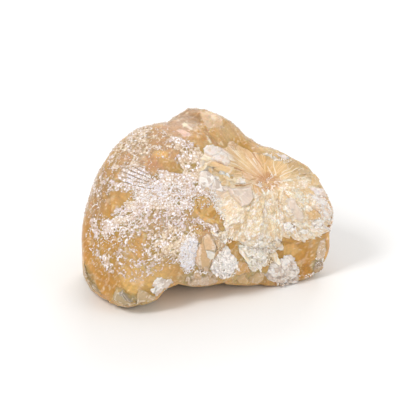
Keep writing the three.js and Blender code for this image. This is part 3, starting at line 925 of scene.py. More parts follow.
def sight_hit(across, up, ledge_share=0.0):
    """The ray from the heart to the skin point that is seen at a place from the front, found by
    halving the stretch of the line of sight between a point in front of it and one behind.
    Places beyond the outline are drawn in to it."""
    seen = SIGHT_EDGE * outline_radius(np.arctan2(up, across)) / np.hypot(across, up)
    across, up = across * np.minimum(seen, 1), up * np.minimum(seen, 1)
    front_depth = np.full(across.shape, SIGHT_DEPTHS[0])
    back_depth = np.full(across.shape, SIGHT_DEPTHS[1])
    for _ in range(SIGHT_HALVINGS):
        depth = (front_depth + back_depth) / 2
        spread = (1 + depth / EYE_DISTANCE)[..., None]
        points = (across[..., None] * ACROSS + up[..., None] * UP) * spread
        points = points + depth[..., None] * INTO
        length = np.linalg.norm(points, axis=-1)
        inside = length < skin_radius(points / length[..., None], ledge_share)
        back_depth = np.where(inside, depth, back_depth)
        front_depth = np.where(inside, front_depth, depth)
    return points / length[..., None]


def closed_fan(grid, start=0):
    """Points and faces of a grid whose rows run out from a hub and whose columns go round it
    anticlockwise: the hub is closed by triangles and the border by a cone to an inner point.
    The faces count the points from a start."""
    rows, columns = grid.shape[:2]
    index = start + np.arange(rows * columns).reshape(rows, columns)
    index = np.concatenate([index, index[:, :1]], axis=1)
    hub = np.full(columns, start + rows * columns)
    inner = hub + 1
    first, last = index[0], index[-1]
    faces = sheet_faces(index).tolist()
    faces += np.stack([hub, first[:-1], first[1:]], -1).tolist()
    faces += np.stack([last[:-1], inner, last[1:]], -1).tolist()
    middle, border = grid[0].mean(0), grid[-1].mean(0)
    return np.concatenate([grid.reshape(-1, 3), [middle, 0.85 * border]]), faces


def closed_values(grid):
    """The values on such a grid, listed point by point: the hub takes one from the first row, the
    inner point one from the last."""
    rows, columns = grid.shape[:2]
    listed = grid.reshape(rows * columns, *grid.shape[2:])
    return np.concatenate([listed, grid[0, :1], grid[-1, :1]])


def line_share(across, up, start, end, half_width):
    """1 on a straight line between two places, 0 beyond half its width, which tapers to its end."""
    way = np.subtract(end, start)
    right, rise = across - start[0], up - start[1]
    along = np.clip((right * way[0] + rise * way[1]) / (way @ way), 0, 1)
    aside = np.hypot(right - along * way[0], rise - along * way[1])
    return fade(half_width * (1 - 0.6 * along) - aside, -0.06, 0.06)


def on_circle(degrees):
    """Points of a circle of radius 1 at angles in degrees, anticlockwise from across."""
    bearing = np.radians(degrees)
    return np.stack([np.cos(bearing), np.sin(bearing), 0 * bearing], -1)


FAN_COLUMNS, FAN_ROWS = 900, 104
TOOTH_WIDTH, TOOTH_RADIUS = 0.75, 16
BLADE_WIDTH, FIBRE_WIDTH, BLADE_RADIUS = 2.0, 0.34, 12  # the widths are at that reach
FACET_SIZE, FAN_GRAIN, FAN_SUGAR = 2.6, 1.0, 0.5
RIM_ROOTS, FAN_ROOTS = (-0.9, -2.6), (-0.8, -1.6)  # of the last two rings, below the skin

angle = np.linspace(0, 360, FAN_COLUMNS, endpoint=False)
reach_out = np.interp(angle, *FAN_EDGE.T, period=360)
on_rim = fade(np.minimum(angle - RIM_ANGLES[0], RIM_ANGLES[1] - angle), -6, 4)
tooth_tilt, tooth_value, _ = broken_faces(TOOTH_RADIUS * on_circle(angle), TOOTH_WIDTH, 97)
reach_out = reach_out + (0.3 + 0.6 * on_rim) * (tooth_value - 0.6 + 0.7 * tooth_tilt)
share = np.concatenate([np.linspace(0.015, 1, FAN_ROWS), [1.0, 0.93]])[:, None]
angle, reach = np.broadcast_arrays(angle, share * reach_out)
across = EYE[0] + reach * on_circle(angle)[..., 0]
up = EYE[1] + reach * on_circle(angle)[..., 1]
fan_ray = sight_hit(across, up)
fan_radius = skin_radius(fan_ray, 0.0)
fan_skin = fan_ray * fan_radius[..., None]

below = fade(np.minimum(angle - SUGARY[0], SUGARY[1] - angle), -8, 12)
fibrous = (1 - below) * fade(1 - np.abs(angle - FIBROUS[0]) / FIBROUS[1], 0, 0.3)
bend = (7 - 4 * fibrous) * (rough_noise(fan_skin, 3.0, 99) - 0.5)
bent = BLADE_RADIUS * on_circle(angle + bend)
blade_place = bent + np.array([0, 0, 0.12]) * reach[..., None]
fibre_place = bent + np.array([0, 0, 0.06]) * reach[..., None]
blade_tilt, blade_value, blade_border = broken_faces(blade_place, BLADE_WIDTH, 111)
fibre_tilt, fibre_value, fibre_border = broken_faces(fibre_place, FIBRE_WIDTH, 121)
grain_tilt, grain_value, _ = broken_faces(fan_skin, FAN_GRAIN, 131)
sugar_tilt, sugar_value, sugar_border = broken_faces(fan_skin, FAN_SUGAR, 141)
facet_tilt, facet_value, facet_border = broken_faces(fan_skin, FACET_SIZE, 151)
smooth = (1 - below) * (1 - fibrous)
height = (0.04 + 0.02 * fibrous + 0.06 * below) * (blade_tilt + 0.6 * (blade_value - 0.5))
height += smooth * (0.2 + 0.14 * facet_tilt) + fibrous * (0.26 * fibre_tilt + 0.08 * (fibre_value - 0.5))
height += below * (0.32 * grain_tilt + 0.12 * (grain_value - 0.5) + 0.42 * sugar_tilt + 0.16 * fibre_tilt)
wobble = soft_noise(fan_skin, 1.4, 153) - 0.5
line_shares = [line_share(across + 0.5 * wobble, up - 0.5 * wobble, *row[1:4]) for row in FAN_LINES]
height += sum(share * row[4] for share, row in zip(line_shares, FAN_LINES))
height = FAN_LIFT * (0.3 + 0.7 * on_rim[None, :]) + height * fade(reach, 0.5, 7)
height = np.maximum(height, 0.16) - (1 - on_rim[None, :]) * 0.5 * fade(share, 0.93, 1.0)
height[-2:] = np.where(on_rim > 0.5, np.transpose([RIM_ROOTS]), np.transpose([FAN_ROOTS]))
fan_points = fan_ray * (fan_radius + height)[..., None]

fan_tint = np.ones(angle.shape + (1,)) * FAN["cream"]
for label, middle, half, softness, fullness in FAN_ZONES:
    around = (angle + bend - middle[0] + 180) % 360 - 180
    inside = 1 - ((around / half[0]) ** 4 + ((reach - middle[1]) / half[1]) ** 4) ** 0.25
    inside = inside + 0.3 * (blade_value - 0.5)
    fan_tint = painted(fan_tint, FAN, [(label, fullness * fade(inside, 0, softness))])
eye_bed = oval(across, up, *EYE_BED) + 0.8 * (rough_noise(fan_skin, 1.6, 154) - 0.5)
clear_faces = smooth * fade(reach, 2, 5)
# painted highlights: broken white lines along the borders of the clear facets
painted_facet_glint = fade(0.06 - facet_border, 0, 0.04) * fade(soft_noise(fan_skin, 1.0, 152), 0.45, 0.6)
lined = 0.25 + 0.75 * np.maximum(fibrous, 0.5 * fade(-reach, -4.5, -2.0))
fan_tint = painted(fan_tint, FAN, [
    ("rust", 0.85 * fade(eye_bed, 0, 0.5)),
    ("honey", 0.5 * below * fade(0.07 - blade_border, 0, 0.05)),
    # grains picked at random turn white, partly grain tone and partly painted highlight
    ("white", 0.85 * below * fade(0.6 * grain_value + 0.4 * sugar_value, 0.58, 0.66)),
    ("tan", 0.55 * below * fade(0.34 - grain_value, 0, 0.08)),
    ("honey", 0.45 * below * fade(0.12 - sugar_border, 0, 0.1)),
    ("honey", 0.35 * below * fade(0.14 - fibre_border, 0, 0.1)),
    ("tan", 0.6 * clear_faces * fade(facet_value, 0.6, 0.65)),
    ("olive", 0.7 * clear_faces * fade(0.4 - facet_value, 0, 0.05)),
    ("white", 0.3 * smooth * painted_facet_glint),
    ("cream", 0.55 * lined * (1 - below) * fade(fibre_value, 0.66, 0.8)),
    ("peach", 0.45 * lined * (1 - below) * fade(0.3 - fibre_value, 0, 0.1)),
    ("rust", 0.38 * lined * fade(0.12 - fibre_border, 0, 0.1)),
] + [(row[0], 0.8 * share) for share, row in zip(line_shares, FAN_LINES)])
fan_shade = 1 + below * (0.1 * (blade_value - 0.5) + 0.14 * (sugar_value - 0.5))
fan_shade += 0.22 * smooth * (fibre_value - 0.5)
fan_tint[..., :3] *= fan_shade[..., None]
fan = add_piece("fan", *closed_fan(fan_points), {
    "tint": closed_values(fan_tint),
    "gloss": closed_values(0.3 + 0.6 * grain_value),
})
fan.data.materials.append(mineral(
    "fan_blades", dullness=0.4, scatter=0.6, reach=0.5, warmth=(1.0, 0.78, 0.55), grain_size=0.3,
    contrast=0.08, bump_height=0.05))

# ---------------------------------------------------------------------------------------------
# The flat-topped crystals: they grew on the ridge, on the fan and along the foot, most of them
# cloudy and three clear as ice. Each rises from the skin by a bevel and is rooted in the lump.
# ---------------------------------------------------------------------------------------------
CRYSTAL = FAN | {  # the fan's colours, with these changed or added
    "ice": colour(222, 207, 194),
    "brown": colour(211, 177, 142),
    "sugar": colour(253, 245, 239),
    "straw": colour(233, 203, 160),
    "haze": colour(222, 204, 188),
    "cream": colour(243, 226, 201),
    "rose": colour(222, 191, 162),
    # painted shade, laid on the ice's darkest grains
    "slate": colour(206, 190, 178),
    "dark_olive": colour(172, 146, 98),
    "wall_grey": colour(162, 142, 120),
    "beige": colour(206, 180, 152),
    "pearl": colour(238, 224, 215),
    "moss": colour(150, 122, 74),
    "moss_light": colour(190, 162, 116),
    "pink": colour(222, 190, 174),
    "shard": colour(255, 246, 230),
}
WHITENED = {  # how far the brightest grains of the pale crystals turn white, partly grain tone and partly painted highlight
    "white": 0.5,
    "lavender": 0.5,
    "grey": 0.5,
    "cream": 0.5,
    "yellow": 0.5,
    "sugar": 0.5,
    "ice": 0.8,
}
LEAST_WHITENED = 0.12  # the same, on the others
FLAT_CRYSTALS = [  # colour, rise, facet size, corners clockwise as seen from the front
    ("pearl", 0.35, 1.0, [(-1.2, 14.7), (0.3, 15.6), (2.6, 15.3), (4.0, 14.4), (3.4, 12.9), (0.9, 12.7),
                          (-0.7, 13.4)]),
    ("pearl", 0.5, 1.0, [(1.2, 12.9), (3.6, 14.2), (5.2, 13.2), (6.0, 11.0), (5.2, 9.8), (2.8, 11.0),
                         (0.4, 11.9)]),
    ("straw", 0.95, 6.0, [(-2.0, 8.8), (-1.2, 11.0), (0.4, 11.7), (4.0, 10.3), (7.2, 8.8), (6.4, 7.6),
                         (5.2, 7.3), (1.5, 9.2), (-1.0, 9.9)]),
    ("straw", 0.85, 5.0, [(1.5, 8.8), (4.4, 8.1), (6.5, 6.4), (7.2, 5.6), (5.4, 4.9), (3.3, 5.3),
                          (2.2, 7.0)]),
    ("white", 1.1, 2.0, [(2.4, 9.0), (5.0, 8.0), (5.8, 7.1), (4.4, 7.2), (3.2, 7.9)]),
    ("white", 0.9, 1.2, [(7.0, 6.9), (7.9, 7.0), (9.5, 5.9), (7.1, 5.6)]),
    ("peach", 0.7, 2.0, [(7.8, 9.1), (9.6, 8.6), (12.1, 6.9), (10.6, 6.3), (8.1, 7.2)]),
    ("haze", 1.0, 6.0, [(4.6, 4.9), (11.1, 5.3), (11.5, 2.1), (10.1, 0.3), (8.6, -0.1), (6.1, 2.1)]),
    ("peach", 0.7, 2.0, [(10.9, 5.9), (12.8, 5.2), (13.5, 2.8), (12.6, 2.2), (11.7, 3.8)]),
    ("haze", 0.75, 6.0, [(19.0, 2.8), (20.9, 2.8), (24.0, -1.9), (23.7, -4.7), (21.8, -3.1),
                         (19.0, 0.6)]),
    ("honey", 0.9, 2.0, [(24.0, -0.9), (25.9, 0.0), (28.4, -2.2), (27.1, -3.4), (24.6, -3.1)]),
    ("lavender", 0.8, 1.6, [(24.6, 5.3), (28.7, 4.7), (29.6, 2.5), (27.1, 3.1)]),
    ("lavender", 0.9, 1.6, [(25.3, 3.4), (29.6, 1.2), (30.6, -0.9), (28.4, 0.3)]),
    ("lavender", 0.9, 1.6, [(27.1, 0.6), (30.3, -1.9), (30.2, -3.8), (28.7, -1.9)]),
    ("honey", 0.6, 9.0, [(-1.6, 10.4), (1.6, 10.6), (5.6, 9.2), (7.4, 7.6), (7.2, 5.4), (5.0, 4.7),
                         (3.2, 5.0), (0.4, 8.4)]),
    ("white", 0.9, 1.2, [(25.6, -4.1), (26.5, -2.5), (27.9, -2.7), (28.1, -5.0), (26.8, -5.3)]),
    ("white", 0.9, 1.2, [(18.4, -4.1), (19.6, -3.4), (21.2, -4.4), (20.3, -5.5), (18.7, -5.3)]),
    ("white", 0.9, 1.2, [(22.3, -5.6), (23.4, -5.0), (24.6, -5.6), (24.3, -6.5), (22.8, -6.5)]),
    ("olive", 0.6, 2.5, [(19.6, 8.4), (23.4, 10.0), (26.0, 9.6), (25.3, 8.1), (22.1, 7.8)]),
    ("tan", 0.6, 2.5, [(25.3, 8.6), (26.4, 9.0), (28.2, 5.6), (27.1, 5.0), (25.6, 5.9)]),
    ("brown", 0.5, 8.0, [(-1.3, -6.8), (0.1, -6.0), (1.6, -7.8), (2.7, -10.2), (1.4, -13.2), (0.4, -16.0),
                         (-2.3, -15.8), (-3.2, -13.6), (-2.6, -10.8), (-1.9, -8.4)]),
    ("rose", 0.65, 9.0, [(-1.0, -6.9), (0.1, -6.2), (0.7, -6.6), (1.5, -7.9), (2.5, -9.6), (2.5, -10.6),
                        (0.8, -10.9), (-0.9, -10.6), (-1.3, -8.3)]),
    ("brown", 0.6, 2.0, [(-1.0, -11.4), (0.4, -12.2), (1.0, -13.6), (0.5, -15.0), (0.1, -16.0),
                          (-1.2, -16.0)]),
    ("rose", 0.6, 6.0, [(1.6, -7.4), (3.2, -7.8), (3.8, -9.6), (2.8, -10.4), (1.8, -9.0)]),
    ("white", 0.8, 1.5, [(3.5, -8.0), (4.6, -7.3), (5.0, -8.0), (4.2, -9.0)]),
    ("pink", 0.65, 2.0, [(-1.9, -11.0), (-1.2, -11.2), (-1.2, -15.6), (-1.9, -15.4)]),
    ("cream", 0.6, 2.0, [(0.5, -5.8), (1.0, -5.6), (2.8, -6.9), (2.6, -7.5), (1.6, -7.0)]),
    ("white", 1.0, 3.0, [(-0.7, -10.0), (0.4, -10.2), (2.0, -11.0), (1.9, -12.3), (1.0, -12.9),
                         (-0.4, -12.1)]),
    ("cream", 1.3, 2.0, [(7.7, -9.9), (8.5, -10.1), (10.8, -13.7), (10.2, -14.1), (7.9, -11.4)]),
    ("cream", 1.3, 2.0, [(15.4, -10.8), (16.5, -10.5), (17.7, -13.5), (17.3, -14.5), (15.8, -13.0)]),
    ("amber", 0.35, 2.4, [(7.3, -13.0), (10.0, -13.3), (10.8, -16.0), (8.1, -17.2), (6.5, -16.6)]),
    ("olive", 0.7, 2.4, [(10.6, -17.2), (12.3, -16.2), (14.2, -16.2), (14.0, -17.6), (12.3, -18.9),
                         (10.6, -18.7)]),
    ("olive", 0.6, 2.0, [(6.9, -17.2), (9.0, -16.4), (10.2, -17.6), (9.4, -18.9), (7.5, -18.7)]),
    ("dark_olive", 0.6, 3.0, [(-22.8, -20.2), (-21.0, -20.4), (-19.5, -22.0), (-18.0, -23.6),
                              (-17.9, -24.4), (-20.3, -24.4), (-22.6, -23.8), (-23.9, -22.8)]),
    ("wall_grey", 0.9, 2.0, [(-21.8, -20.8), (-21.0, -20.6), (-19.2, -22.4), (-18.4, -23.5),
                             (-20.2, -22.6), (-21.6, -21.6)]),
    ("moss_light", 0.6, 3.0, [(-17.2, -20.4), (-15.6, -21.0), (-14.0, -22.0), (-12.2, -22.4),
                              (-12.6, -23.0), (-15.4, -23.5), (-16.7, -23.4), (-17.8, -24.2),
                              (-17.8, -21.9)]),
    ("moss", 0.25, 3.0, [(-31.0, -13.5), (-30.3, -15.6), (-28.4, -19.0), (-26.6, -21.9), (-28.5, -21.0),
                        (-30.2, -19.4), (-30.8, -17.1)]),
    ("brown", 0.4, 4.0, [(1.0, -6.0), (3.0, -7.0), (4.4, -8.0), (4.4, -9.6), (3.2, -11.6), (1.8, -13.0),
                         (0.8, -12.4), (0.6, -8.6)]),
    ("wall_grey", 0.5, 1.4, [(27.0, -13.9), (28.4, -13.2), (29.4, -14.4), (28.4, -16.4),
                             (26.6, -16.3)]),
    ("beige", 0.4, 1.4, [(28.0, -8.4), (29.2, -7.6), (29.6, -10.4), (29.0, -12.8), (27.4, -13.2),
                         (27.2, -11.0)]),
]
CLEAR_CRYSTALS = [
    ("ice", 0.7, 1.6, [(-2.1, 8.9), (-0.6, 9.8), (1.6, 8.4), (2.6, 6.6), (0.6, 4.4), (-1.4, 4.4),
                       (-2.4, 5.9)]),
    ("ice", 0.7, 1.6, [(1.6, 8.4), (2.6, 7.2), (4.6, 3.9), (3.4, 3.6), (0.6, 4.4)]),
    ("grey", 0.5, 2.0, [(-2.1, 11.1), (-1.1, 11.9), (0.1, 11.4), (-1.1, 9.9), (-2.4, 9.9)]),
]
CRYSTAL_CELL = 0.15  # the spacing of a crystal's points, in mm
BEVEL, BEVEL_STEPS = 0.3, 5  # its width as a share of the way out from the middle
EDGE_RAGGED, RAGGED_SIZE = 0.8, 1.2
ROOTS = (-0.6, -1.4)  # how far the last two rings of points lie below the skin
CRYSTAL_GLOSS = 0.8
CLOUDY_SEEDS, CLEAR_SEEDS = 300, 400  # each crystal has its own seed, counted from these


def crystal_tint(label, value, border, lines):
    """A crystal's colour, varied from grain to grain, along fine lines and at the seams. The brightest
    grains turn white, partly grain tone and partly painted highlight, the ice's darkest grains take
    painted shade, and broken white lines of painted highlight run along the seams.
    """
    whitened = WHITENED.get(label, LEAST_WHITENED)
    # the ice's darkest grains take painted shade; those of the other crystals turn honey-coloured
    dark, darkened = ("slate", 0.8) if label == "ice" else ("honey", 0.3)
    tint = painted(np.ones(value.shape + (1,)) * CRYSTAL[label], CRYSTAL, [
        # the brightest grains turn white, partly grain tone and partly painted highlight
        ("white", whitened * fade(value, 0.55, 0.65)),
        (dark, darkened * fade(0.4 - value, 0, 0.1)),
        # painted highlights: broken white lines along the seams
        ("white", (0.2 + whitened) * fade(0.08 - border, 0, 0.05) * fade(lines, 0.4, 0.55)),
    ])
    tint[..., :3] *= (1 + 0.16 * (lines - 0.5))[..., None]
    return tint


def outline_grid(corners, q, ragged, seed):
    """Places seen from the front, as a grid: columns run anticlockwise round an outline, and rows
    lie at shares q of the way to it from its middle. Noise makes it ragged, the more so outwards."""
    corners = np.array(corners)[::-1]
    middle = corners.mean(0)
    steps = int(np.ceil(np.linalg.norm(corners - middle, axis=1).mean() / CRYSTAL_CELL))
    share = np.arange(steps)[:, None] / steps
    border = (corners[:, None] + share * (np.roll(corners, -1, 0) - corners)[:, None]).reshape(-1, 2)
    place = middle + q[..., None] * (border - middle)
    flat = np.concatenate([place, 0 * place[..., :1] + seed], -1)
    noise = np.stack([rough_noise(flat, RAGGED_SIZE, axis_seed) for axis_seed in (5, 6)], -1) - 0.5
    return place + ragged * q[..., None] ** 2 * noise


UNDER_FAN = -6.0  # the skin is set back under the fan for what starts lower than this


def seen_skin(place, ledge_share):
    """Rays to the skin seen at places from the front, its distance from the heart, its points."""
    ray = sight_hit(place[..., 0], place[..., 1], ledge_share)
    radius = skin_radius(ray, ledge_share)
    return ray, radius, ray * radius[..., None]


def flat_crystal(label, rise, facet_size, corners, seed):
    """One crystal: its top is broken into large facets, its sides fall to the skin along a bevel,
    and it is closed inside. Broken white lines of painted highlight run along the top of the bevel.
    The rings of its points lie at shares q of the way out."""
    steps = int(np.ceil(np.ptp(corners, axis=0).mean() / 2 / CRYSTAL_CELL))
    top_rings = np.linspace(0.1, 1 - BEVEL, steps)
    bevel_rings = np.linspace(1 - BEVEL, 1, BEVEL_STEPS)[1:]
    q = np.concatenate([top_rings, bevel_rings, [1.0, 0.9]])[:, None]
    place = outline_grid(corners, q, EDGE_RAGGED, seed)
    ray, radius, skin = seen_skin(place, float(corners[0][1] < UNDER_FAN))
    grain_way = unit(hashed(seed + np.eye(3), 7) - 0.5)
    stretched = skin - 0.8 * (skin @ grain_way)[..., None] * grain_way
    lines = soft_noise(stretched, 0.28, seed)
    tilt, value, seam = broken_faces(skin, facet_size, seed)
    top = rise + 0.25 * np.tanh(0.8 * tilt)
    height = top * np.minimum(1, (1 - q) / BEVEL) + 0.06 * (lines - 0.5)
    height[-2], height[-1] = ROOTS
    # painted highlights: broken white lines along the top of the bevel
    painted_bevel_glint = fade(0.06 - np.abs(q - 1 + BEVEL), 0, 0.04) * fade(soft_noise(skin, 1.2, seed), 0.4, 0.6)
    tint = painted(crystal_tint(label, value, seam, lines), CRYSTAL,
                   [("white", (0.8 if label in WHITENED else 0.4) * painted_bevel_glint)])
    return ray * (radius + height)[..., None], tint


def joined_crystals(name, crystals):
    """Joins crystals, each a closed grid of points with its colours, into one piece."""
    points, faces, tints = np.empty((0, 3)), [], np.empty((0, 4))
    for grid, tint in crystals:
        own_points, own_faces = closed_fan(grid, len(points))
        faces += own_faces
        points = np.concatenate([points, own_points])
        tints = np.concatenate([tints, closed_values(tint)])
    return add_piece(name, points, faces, {
        "tint": tints,
        "gloss": np.full(len(points), CRYSTAL_GLOSS),
    })


cloudy_crystals = joined_crystals(
    "cloudy_crystals", [flat_crystal(*row, CLOUDY_SEEDS + number)
                        for number, row in enumerate(FLAT_CRYSTALS)])
cloudy_crystals.data.materials.append(mineral(
    "cloudy_crystal", dullness=0.4, scatter=0.7, reach=0.6, warmth=(1.0, 0.8, 0.6), grain_size=0.5,
    contrast=0.05, bump_height=0.04, clear=0.05))
clear_crystals = joined_crystals(
    "clear_crystals", [flat_crystal(*row, CLEAR_SEEDS + number)
                       for number, row in enumerate(CLEAR_CRYSTALS)])
clear_crystals.data.materials.append(mineral(
    "clear_ice", dullness=0.25, scatter=0.5, reach=0.5, warmth=(1.0, 0.85, 0.7), grain_size=0.4,
    contrast=0.06, bump_height=0.05, clear=0.08))

# ---------------------------------------------------------------------------------------------
# The knobs: heaps of sugary aragonite grains that grew on the ridge, on the fan and between it
# and the foot. Each swells from the skin, and its ragged border is rooted in the lump.
# ---------------------------------------------------------------------------------------------
KNOBS = [  # colour, rise, grain size, corners
    ("sugar", 0.8, 0.8, [(4.4, -9.6), (5.4, -11.0), (7.3, -12.6), (7.9, -14.1), (7.1, -16.0),
                         (5.2, -16.6), (4.0, -17.6), (1.7, -16.8), (0.5, -15.5), (0.8, -13.7),
                         (2.1, -11.8), (3.1, -10.3)]),
    ("shard", 0.85, 1.0, [(7.4, -9.4), (10.6, -8.9), (14.0, -9.7), (15.4, -11.2), (14.8, -13.4),
                         (13.4, -15.6), (11.5, -16.2), (10.4, -14.9), (9.4, -13.0), (8.0, -11.2)]),
    ("ice", 1.3, 1.2, [(14.8, -14.7), (16.0, -14.1), (18.1, -13.5), (19.0, -12.0), (21.0, -12.0),
                       (22.5, -13.5), (22.8, -16.0), (22.5, -18.0), (20.6, -19.3), (17.7, -19.5),
                       (15.6, -18.5), (14.4, -17.2)]),
    ("beige", 0.6, 1.6, [(-5.4, -18.5), (-5.0, -17.2), (-3.5, -16.0), (-2.3, -15.5), (0.0, -15.8),
                         (2.3, -16.8), (2.7, -18.0), (1.0, -19.4), (-1.9, -19.6), (-4.8, -19.4)]),
    ("ice", 0.7, 2.0, [(-13.0, -17.6), (-11.6, -17.4), (-9.6, -17.8), (-8.7, -18.6), (-9.2, -19.4),
                       (-10.6, -20.3), (-11.4, -21.3), (-12.9, -22.0), (-13.8, -21.5), (-13.7, -20.0)]),
    ("cream", 0.85, 0.8, [(7.4, -8.2), (10.4, -7.6), (14.4, -8.0), (18.6, -8.2), (19.0, -10.2),
                         (16.6, -11.4), (13.6, -10.6), (9.8, -10.4)]),
    ("cream", 0.6, 0.8, [(2.4, -6.0), (4.4, -5.8), (5.4, -7.4), (4.4, -8.4), (2.8, -7.6)]),
    ("cream", 0.5, 0.9, [(18.4, 7.0), (21.0, 7.9), (25.2, 7.6), (25.6, 6.6), (22.4, 6.6), (19.6, 6.4)]),
    ("peach", 0.3, 0.6, [(4.9, 15.4), (5.4, 16.8), (6.4, 16.8), (7.6, 15.6), (7.2, 14.4), (5.6, 14.4)]),
    ("lavender", 0.6, 1.2, [(16.6, 13.4), (18.2, 13.2), (20.2, 12.4), (20.6, 11.6), (18.6, 12.0),
                            (16.9, 12.7)]),
    ("cream", 0.6, 1.2, [(13.6, 13.4), (15.2, 13.2), (17.4, 12.4), (18.6, 11.4), (16.8, 11.2),
                         (15.4, 12.3), (13.9, 12.8)]),
    ("yellow", 0.45, 0.9, [(19.4, 4.0), (22.0, 4.8), (24.0, 4.0), (25.6, 1.6), (25.2, -0.4), (23.6, -0.9),
                           (21.8, 1.2)]),
]
KNOB_RAGGED = 1.8
KNOB_SEEDS = 500  # each knob has two seeds, counted from this
FINER = 0.45  # the size of the fine grains as a share of the coarse ones


def knob(label, rise, grain_size, corners, seed):
    """A sugary knob: rise times (1 - q^3), broken into tilted grains, where q is 0 in its middle
    and 1 at its ragged border."""
    steps = int(np.ceil(np.ptp(corners, axis=0).max() / 2 / CRYSTAL_CELL))
    q = np.concatenate([np.linspace(0.03, 1, steps), [1.0, 0.9]])[:, None]
    place = outline_grid(corners, q, KNOB_RAGGED, seed)
    ray, radius, skin = seen_skin(place, float(corners[0][1] < UNDER_FAN))
    tilt, value, seam = broken_faces(skin, grain_size, seed)
    fine_tilt, fine_value, _ = broken_faces(skin, FINER * grain_size, seed + 1)
    height = rise * (1 - q**3) * (0.7 + 0.6 * value) + 0.4 * tilt + 0.3 * fine_tilt
    height[-2], height[-1] = ROOTS
    mixed = 0.7 * value + 0.3 * fine_value
    tint = crystal_tint(label, mixed, seam, soft_noise(skin, 0.3, seed))
    return ray * (radius + height)[..., None], tint


knobs = joined_crystals(
    "knobs", [knob(*row, KNOB_SEEDS + 2 * number) for number, row in enumerate(KNOBS)])
knobs.data.materials.append(mineral(
    "sugary_crystal", dullness=0.25, scatter=0.6, reach=0.4, warmth=(1.0, 0.85, 0.7), grain_size=0.3,
    contrast=0.1, bump_height=0.05, clear=0.1))

# ---------------------------------------------------------------------------------------------
# The sugar: thousands of small pointed aragonite crystals, most of them well under a millimetre
# long, that grew last. They stand on the frost, on the ridge, on the fan and on the knobs, each
# with its foot sunk in what it grew on.
# ---------------------------------------------------------------------------------------------
SUGAR_PATCHES = [  # how many, middle, half sizes, turn, length, height of the bed, colour
    (120, (4.2, -14.4), (3.4, 2.6), 0, 1.1, 0.7, "sugar"),
    (40, (4.2, -11.8), (1.6, 1.8), 0, 1.0, 0.7, "sugar"),
    (60, (18.9, -15.9), (3.4, 2.8), 10, 1.0, 1.1, "ice"),
    (80, (12.4, -12.2), (2.6, 2.8), 20, 0.9, 0.6, "shard"),
    (40, (15.4, -12.6), (1.8, 1.2), 50, 0.7, 0.5, "cream"),
    (12, (-11.4, -19.4), (2.4, 1.4), 30, 0.6, 0.6, "white"),
    (60, (28.0, -12.6), (1.1, 2.6), -14, 0.42, 0.15, "white"),
    (30, (25.6, -17.0), (1.6, 0.7), 20, 0.42, 0.2, "white"),
    (30, (-1.6, -15.8), (2.0, 0.5), 0, 0.6, 0.4, "white"),
    (70, (12.6, -9.6), (4.6, 1.0), 0, 0.6, 0.9, "sugar"),
    (50, (4.0, -7.4), (2.0, 1.2), -30, 0.6, 0.4, "cream"),
    (40, (3.0, -9.4), (1.2, 1.6), 0, 0.5, 0.4, "cream"),
    (160, (29.0, -1.0), (2.0, 5.0), 20, 0.5, 0.4, "white"),
    (160, (13.0, -1.5), (7.0, 5.0), 0, 0.5, 0.4, "cream"),
    (120, (22.0, 2.0), (4.0, 3.0), 0, 0.5, 0.4, "cream"),
    (160, (2.6, 0.6), (1.2, 4.6), 25, 0.5, 0.3, "white"),
    (600, (-9.0, 3.6), (11.0, 4.4), -8, 0.5, 0.1, "white"),
    (420, (-20.0, -2.6), (9.0, 3.2), 50, 0.45, 0.1, "white"),
    (320, (-7.0, -8.6), (9.0, 6.2), 15, 0.45, 0.1, "white"),
    (420, (-4.4, -11.6), (2.6, 5.0), -12, 0.45, 0.1, "white"),
    (120, (-16.0, 13.0), (9.0, 5.0), 35, 0.35, 0.1, "white"),
    (30, (17.4, 12.5), (3.0, 0.9), -20, 0.5, 0.5, "white"),
    (30, (13.6, 5.2), (1.8, 0.8), -35, 0.4, 0.3, "white"),
    (30, (15.6, 7.4), (1.6, 0.5), 40, 0.35, 0.2, "white"),
    (40, (19.4, 11.4), (1.6, 0.5), 0, 0.4, 0.3, "cream"),
    (26, (19.8, -4.5), (1.5, 1.0), -10, 0.9, 0.8, "white"),
    (16, (23.5, -5.8), (1.2, 0.6), 0, 0.8, 0.8, "white"),
    (26, (27.0, -3.9), (1.4, 1.4), 0, 0.9, 0.8, "white"),
    (60, (12.2, -12.4), (2.4, 2.8), 20, 0.9, 0.9, "white"),
]
SUGAR_SIDES = 6
SUGAR_WIDTH, SUGAR_FLATNESS = 0.32, 0.7  # half the width of a crystal of size 1, and thick to wide
SUGAR_FOOT, SUGAR_SHOULDER, SUGAR_TIP = -0.5, 0.25, 0.7  # along its axis
SUGAR_LEAN = 0.45
SUGAR_SEED = 77
UNDER_RIM = -8.0  # the skin is set back under the fan for patches whose middle is lower than this


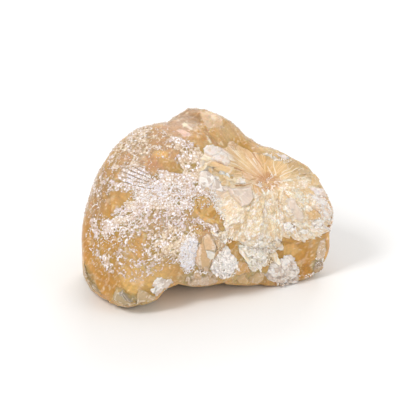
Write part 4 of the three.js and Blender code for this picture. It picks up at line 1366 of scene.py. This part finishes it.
def sugar_patch(count, middle, half, turn, length, bed, label, dice):
    """Crystals scattered evenly over an oval: each a six-sided prism with a point, leaning at
    random off the outward direction. Gives the points of a foot ring, a shoulder ring and a tip
    for each, and their colours."""
    distance, bearing = np.sqrt(dice.random(count)), dice.random(count) * 2 * np.pi
    along, aside = half[0] * distance * np.cos(bearing), half[1] * distance * np.sin(bearing)
    cosine, sine = np.cos(np.radians(turn)), np.sin(np.radians(turn))
    across, up = middle[0] + along * cosine - aside * sine, middle[1] + along * sine + aside * cosine
    ledge_share = float(middle[1] < UNDER_RIM)
    ray = sight_hit(across, up, ledge_share)
    size = length * (0.4 + 0.9 * dice.random(count) ** 1.5)
    axis = unit(0.5 * ray - 0.5 * INTO + SUGAR_LEAN * dice.normal(size=(count, 3)))
    side = unit(np.cross(axis, dice.normal(size=(count, 3))))
    other = SUGAR_FLATNESS * np.cross(axis, side)
    angle = np.arange(SUGAR_SIDES)[:, None, None] * 2 * np.pi / SUGAR_SIDES
    ring = SUGAR_WIDTH * (np.cos(angle) * side + np.sin(angle) * other)
    rings = [ring + SUGAR_FOOT * axis, ring + SUGAR_SHOULDER * axis, SUGAR_TIP * axis[None]]
    rest = ray * (skin_radius(ray, ledge_share) + bed)[:, None]
    points = (rest + np.concatenate(rings) * size[:, None]).transpose(1, 0, 2)
    tint = np.ones((count, 1)) * CRYSTAL[label]
    tint[:, :3] *= 0.9 + 0.2 * dice.random((count, 1))
    return points, np.repeat(tint[:, None], points.shape[1], axis=1)


dice = np.random.default_rng(SUGAR_SEED)
sugar = [sugar_patch(*row, dice) for row in SUGAR_PATCHES]
sugar_points = np.concatenate([points for points, _ in sugar])
sugar_tint = np.concatenate([tint for _, tint in sugar])
near_side = np.arange(SUGAR_SIDES)
next_side = (near_side + 1) % SUGAR_SIDES
walls = np.stack([near_side, next_side, next_side + SUGAR_SIDES, near_side + SUGAR_SIDES], -1)
slopes = np.stack([near_side + SUGAR_SIDES, next_side + SUGAR_SIDES, 0 * near_side + 2 * SUGAR_SIDES], -1)
first_point = np.arange(len(sugar_points))[:, None, None] * sugar_points.shape[1]
sugar_faces = []
for shape in (walls, slopes, near_side[None, ::-1]):
    sugar_faces += (first_point + shape).reshape(-1, shape.shape[-1]).tolist()
sugar_piece = add_piece("sugar_crystals", sugar_points.reshape(-1, 3), sugar_faces, {
    "tint": sugar_tint.reshape(-1, 4),
    "gloss": np.full(sugar_tint.size // 4, CRYSTAL_GLOSS),
})
sugar_piece.data.shade_flat()
sugar_piece.data.materials.append(mineral(
    "sugar_crystal", dullness=0.35, scatter=0.3, reach=0.08, warmth=(1.0, 0.9, 0.8), grain_size=0.3,
    contrast=0.03, bump_height=0.0, clear=0.05))
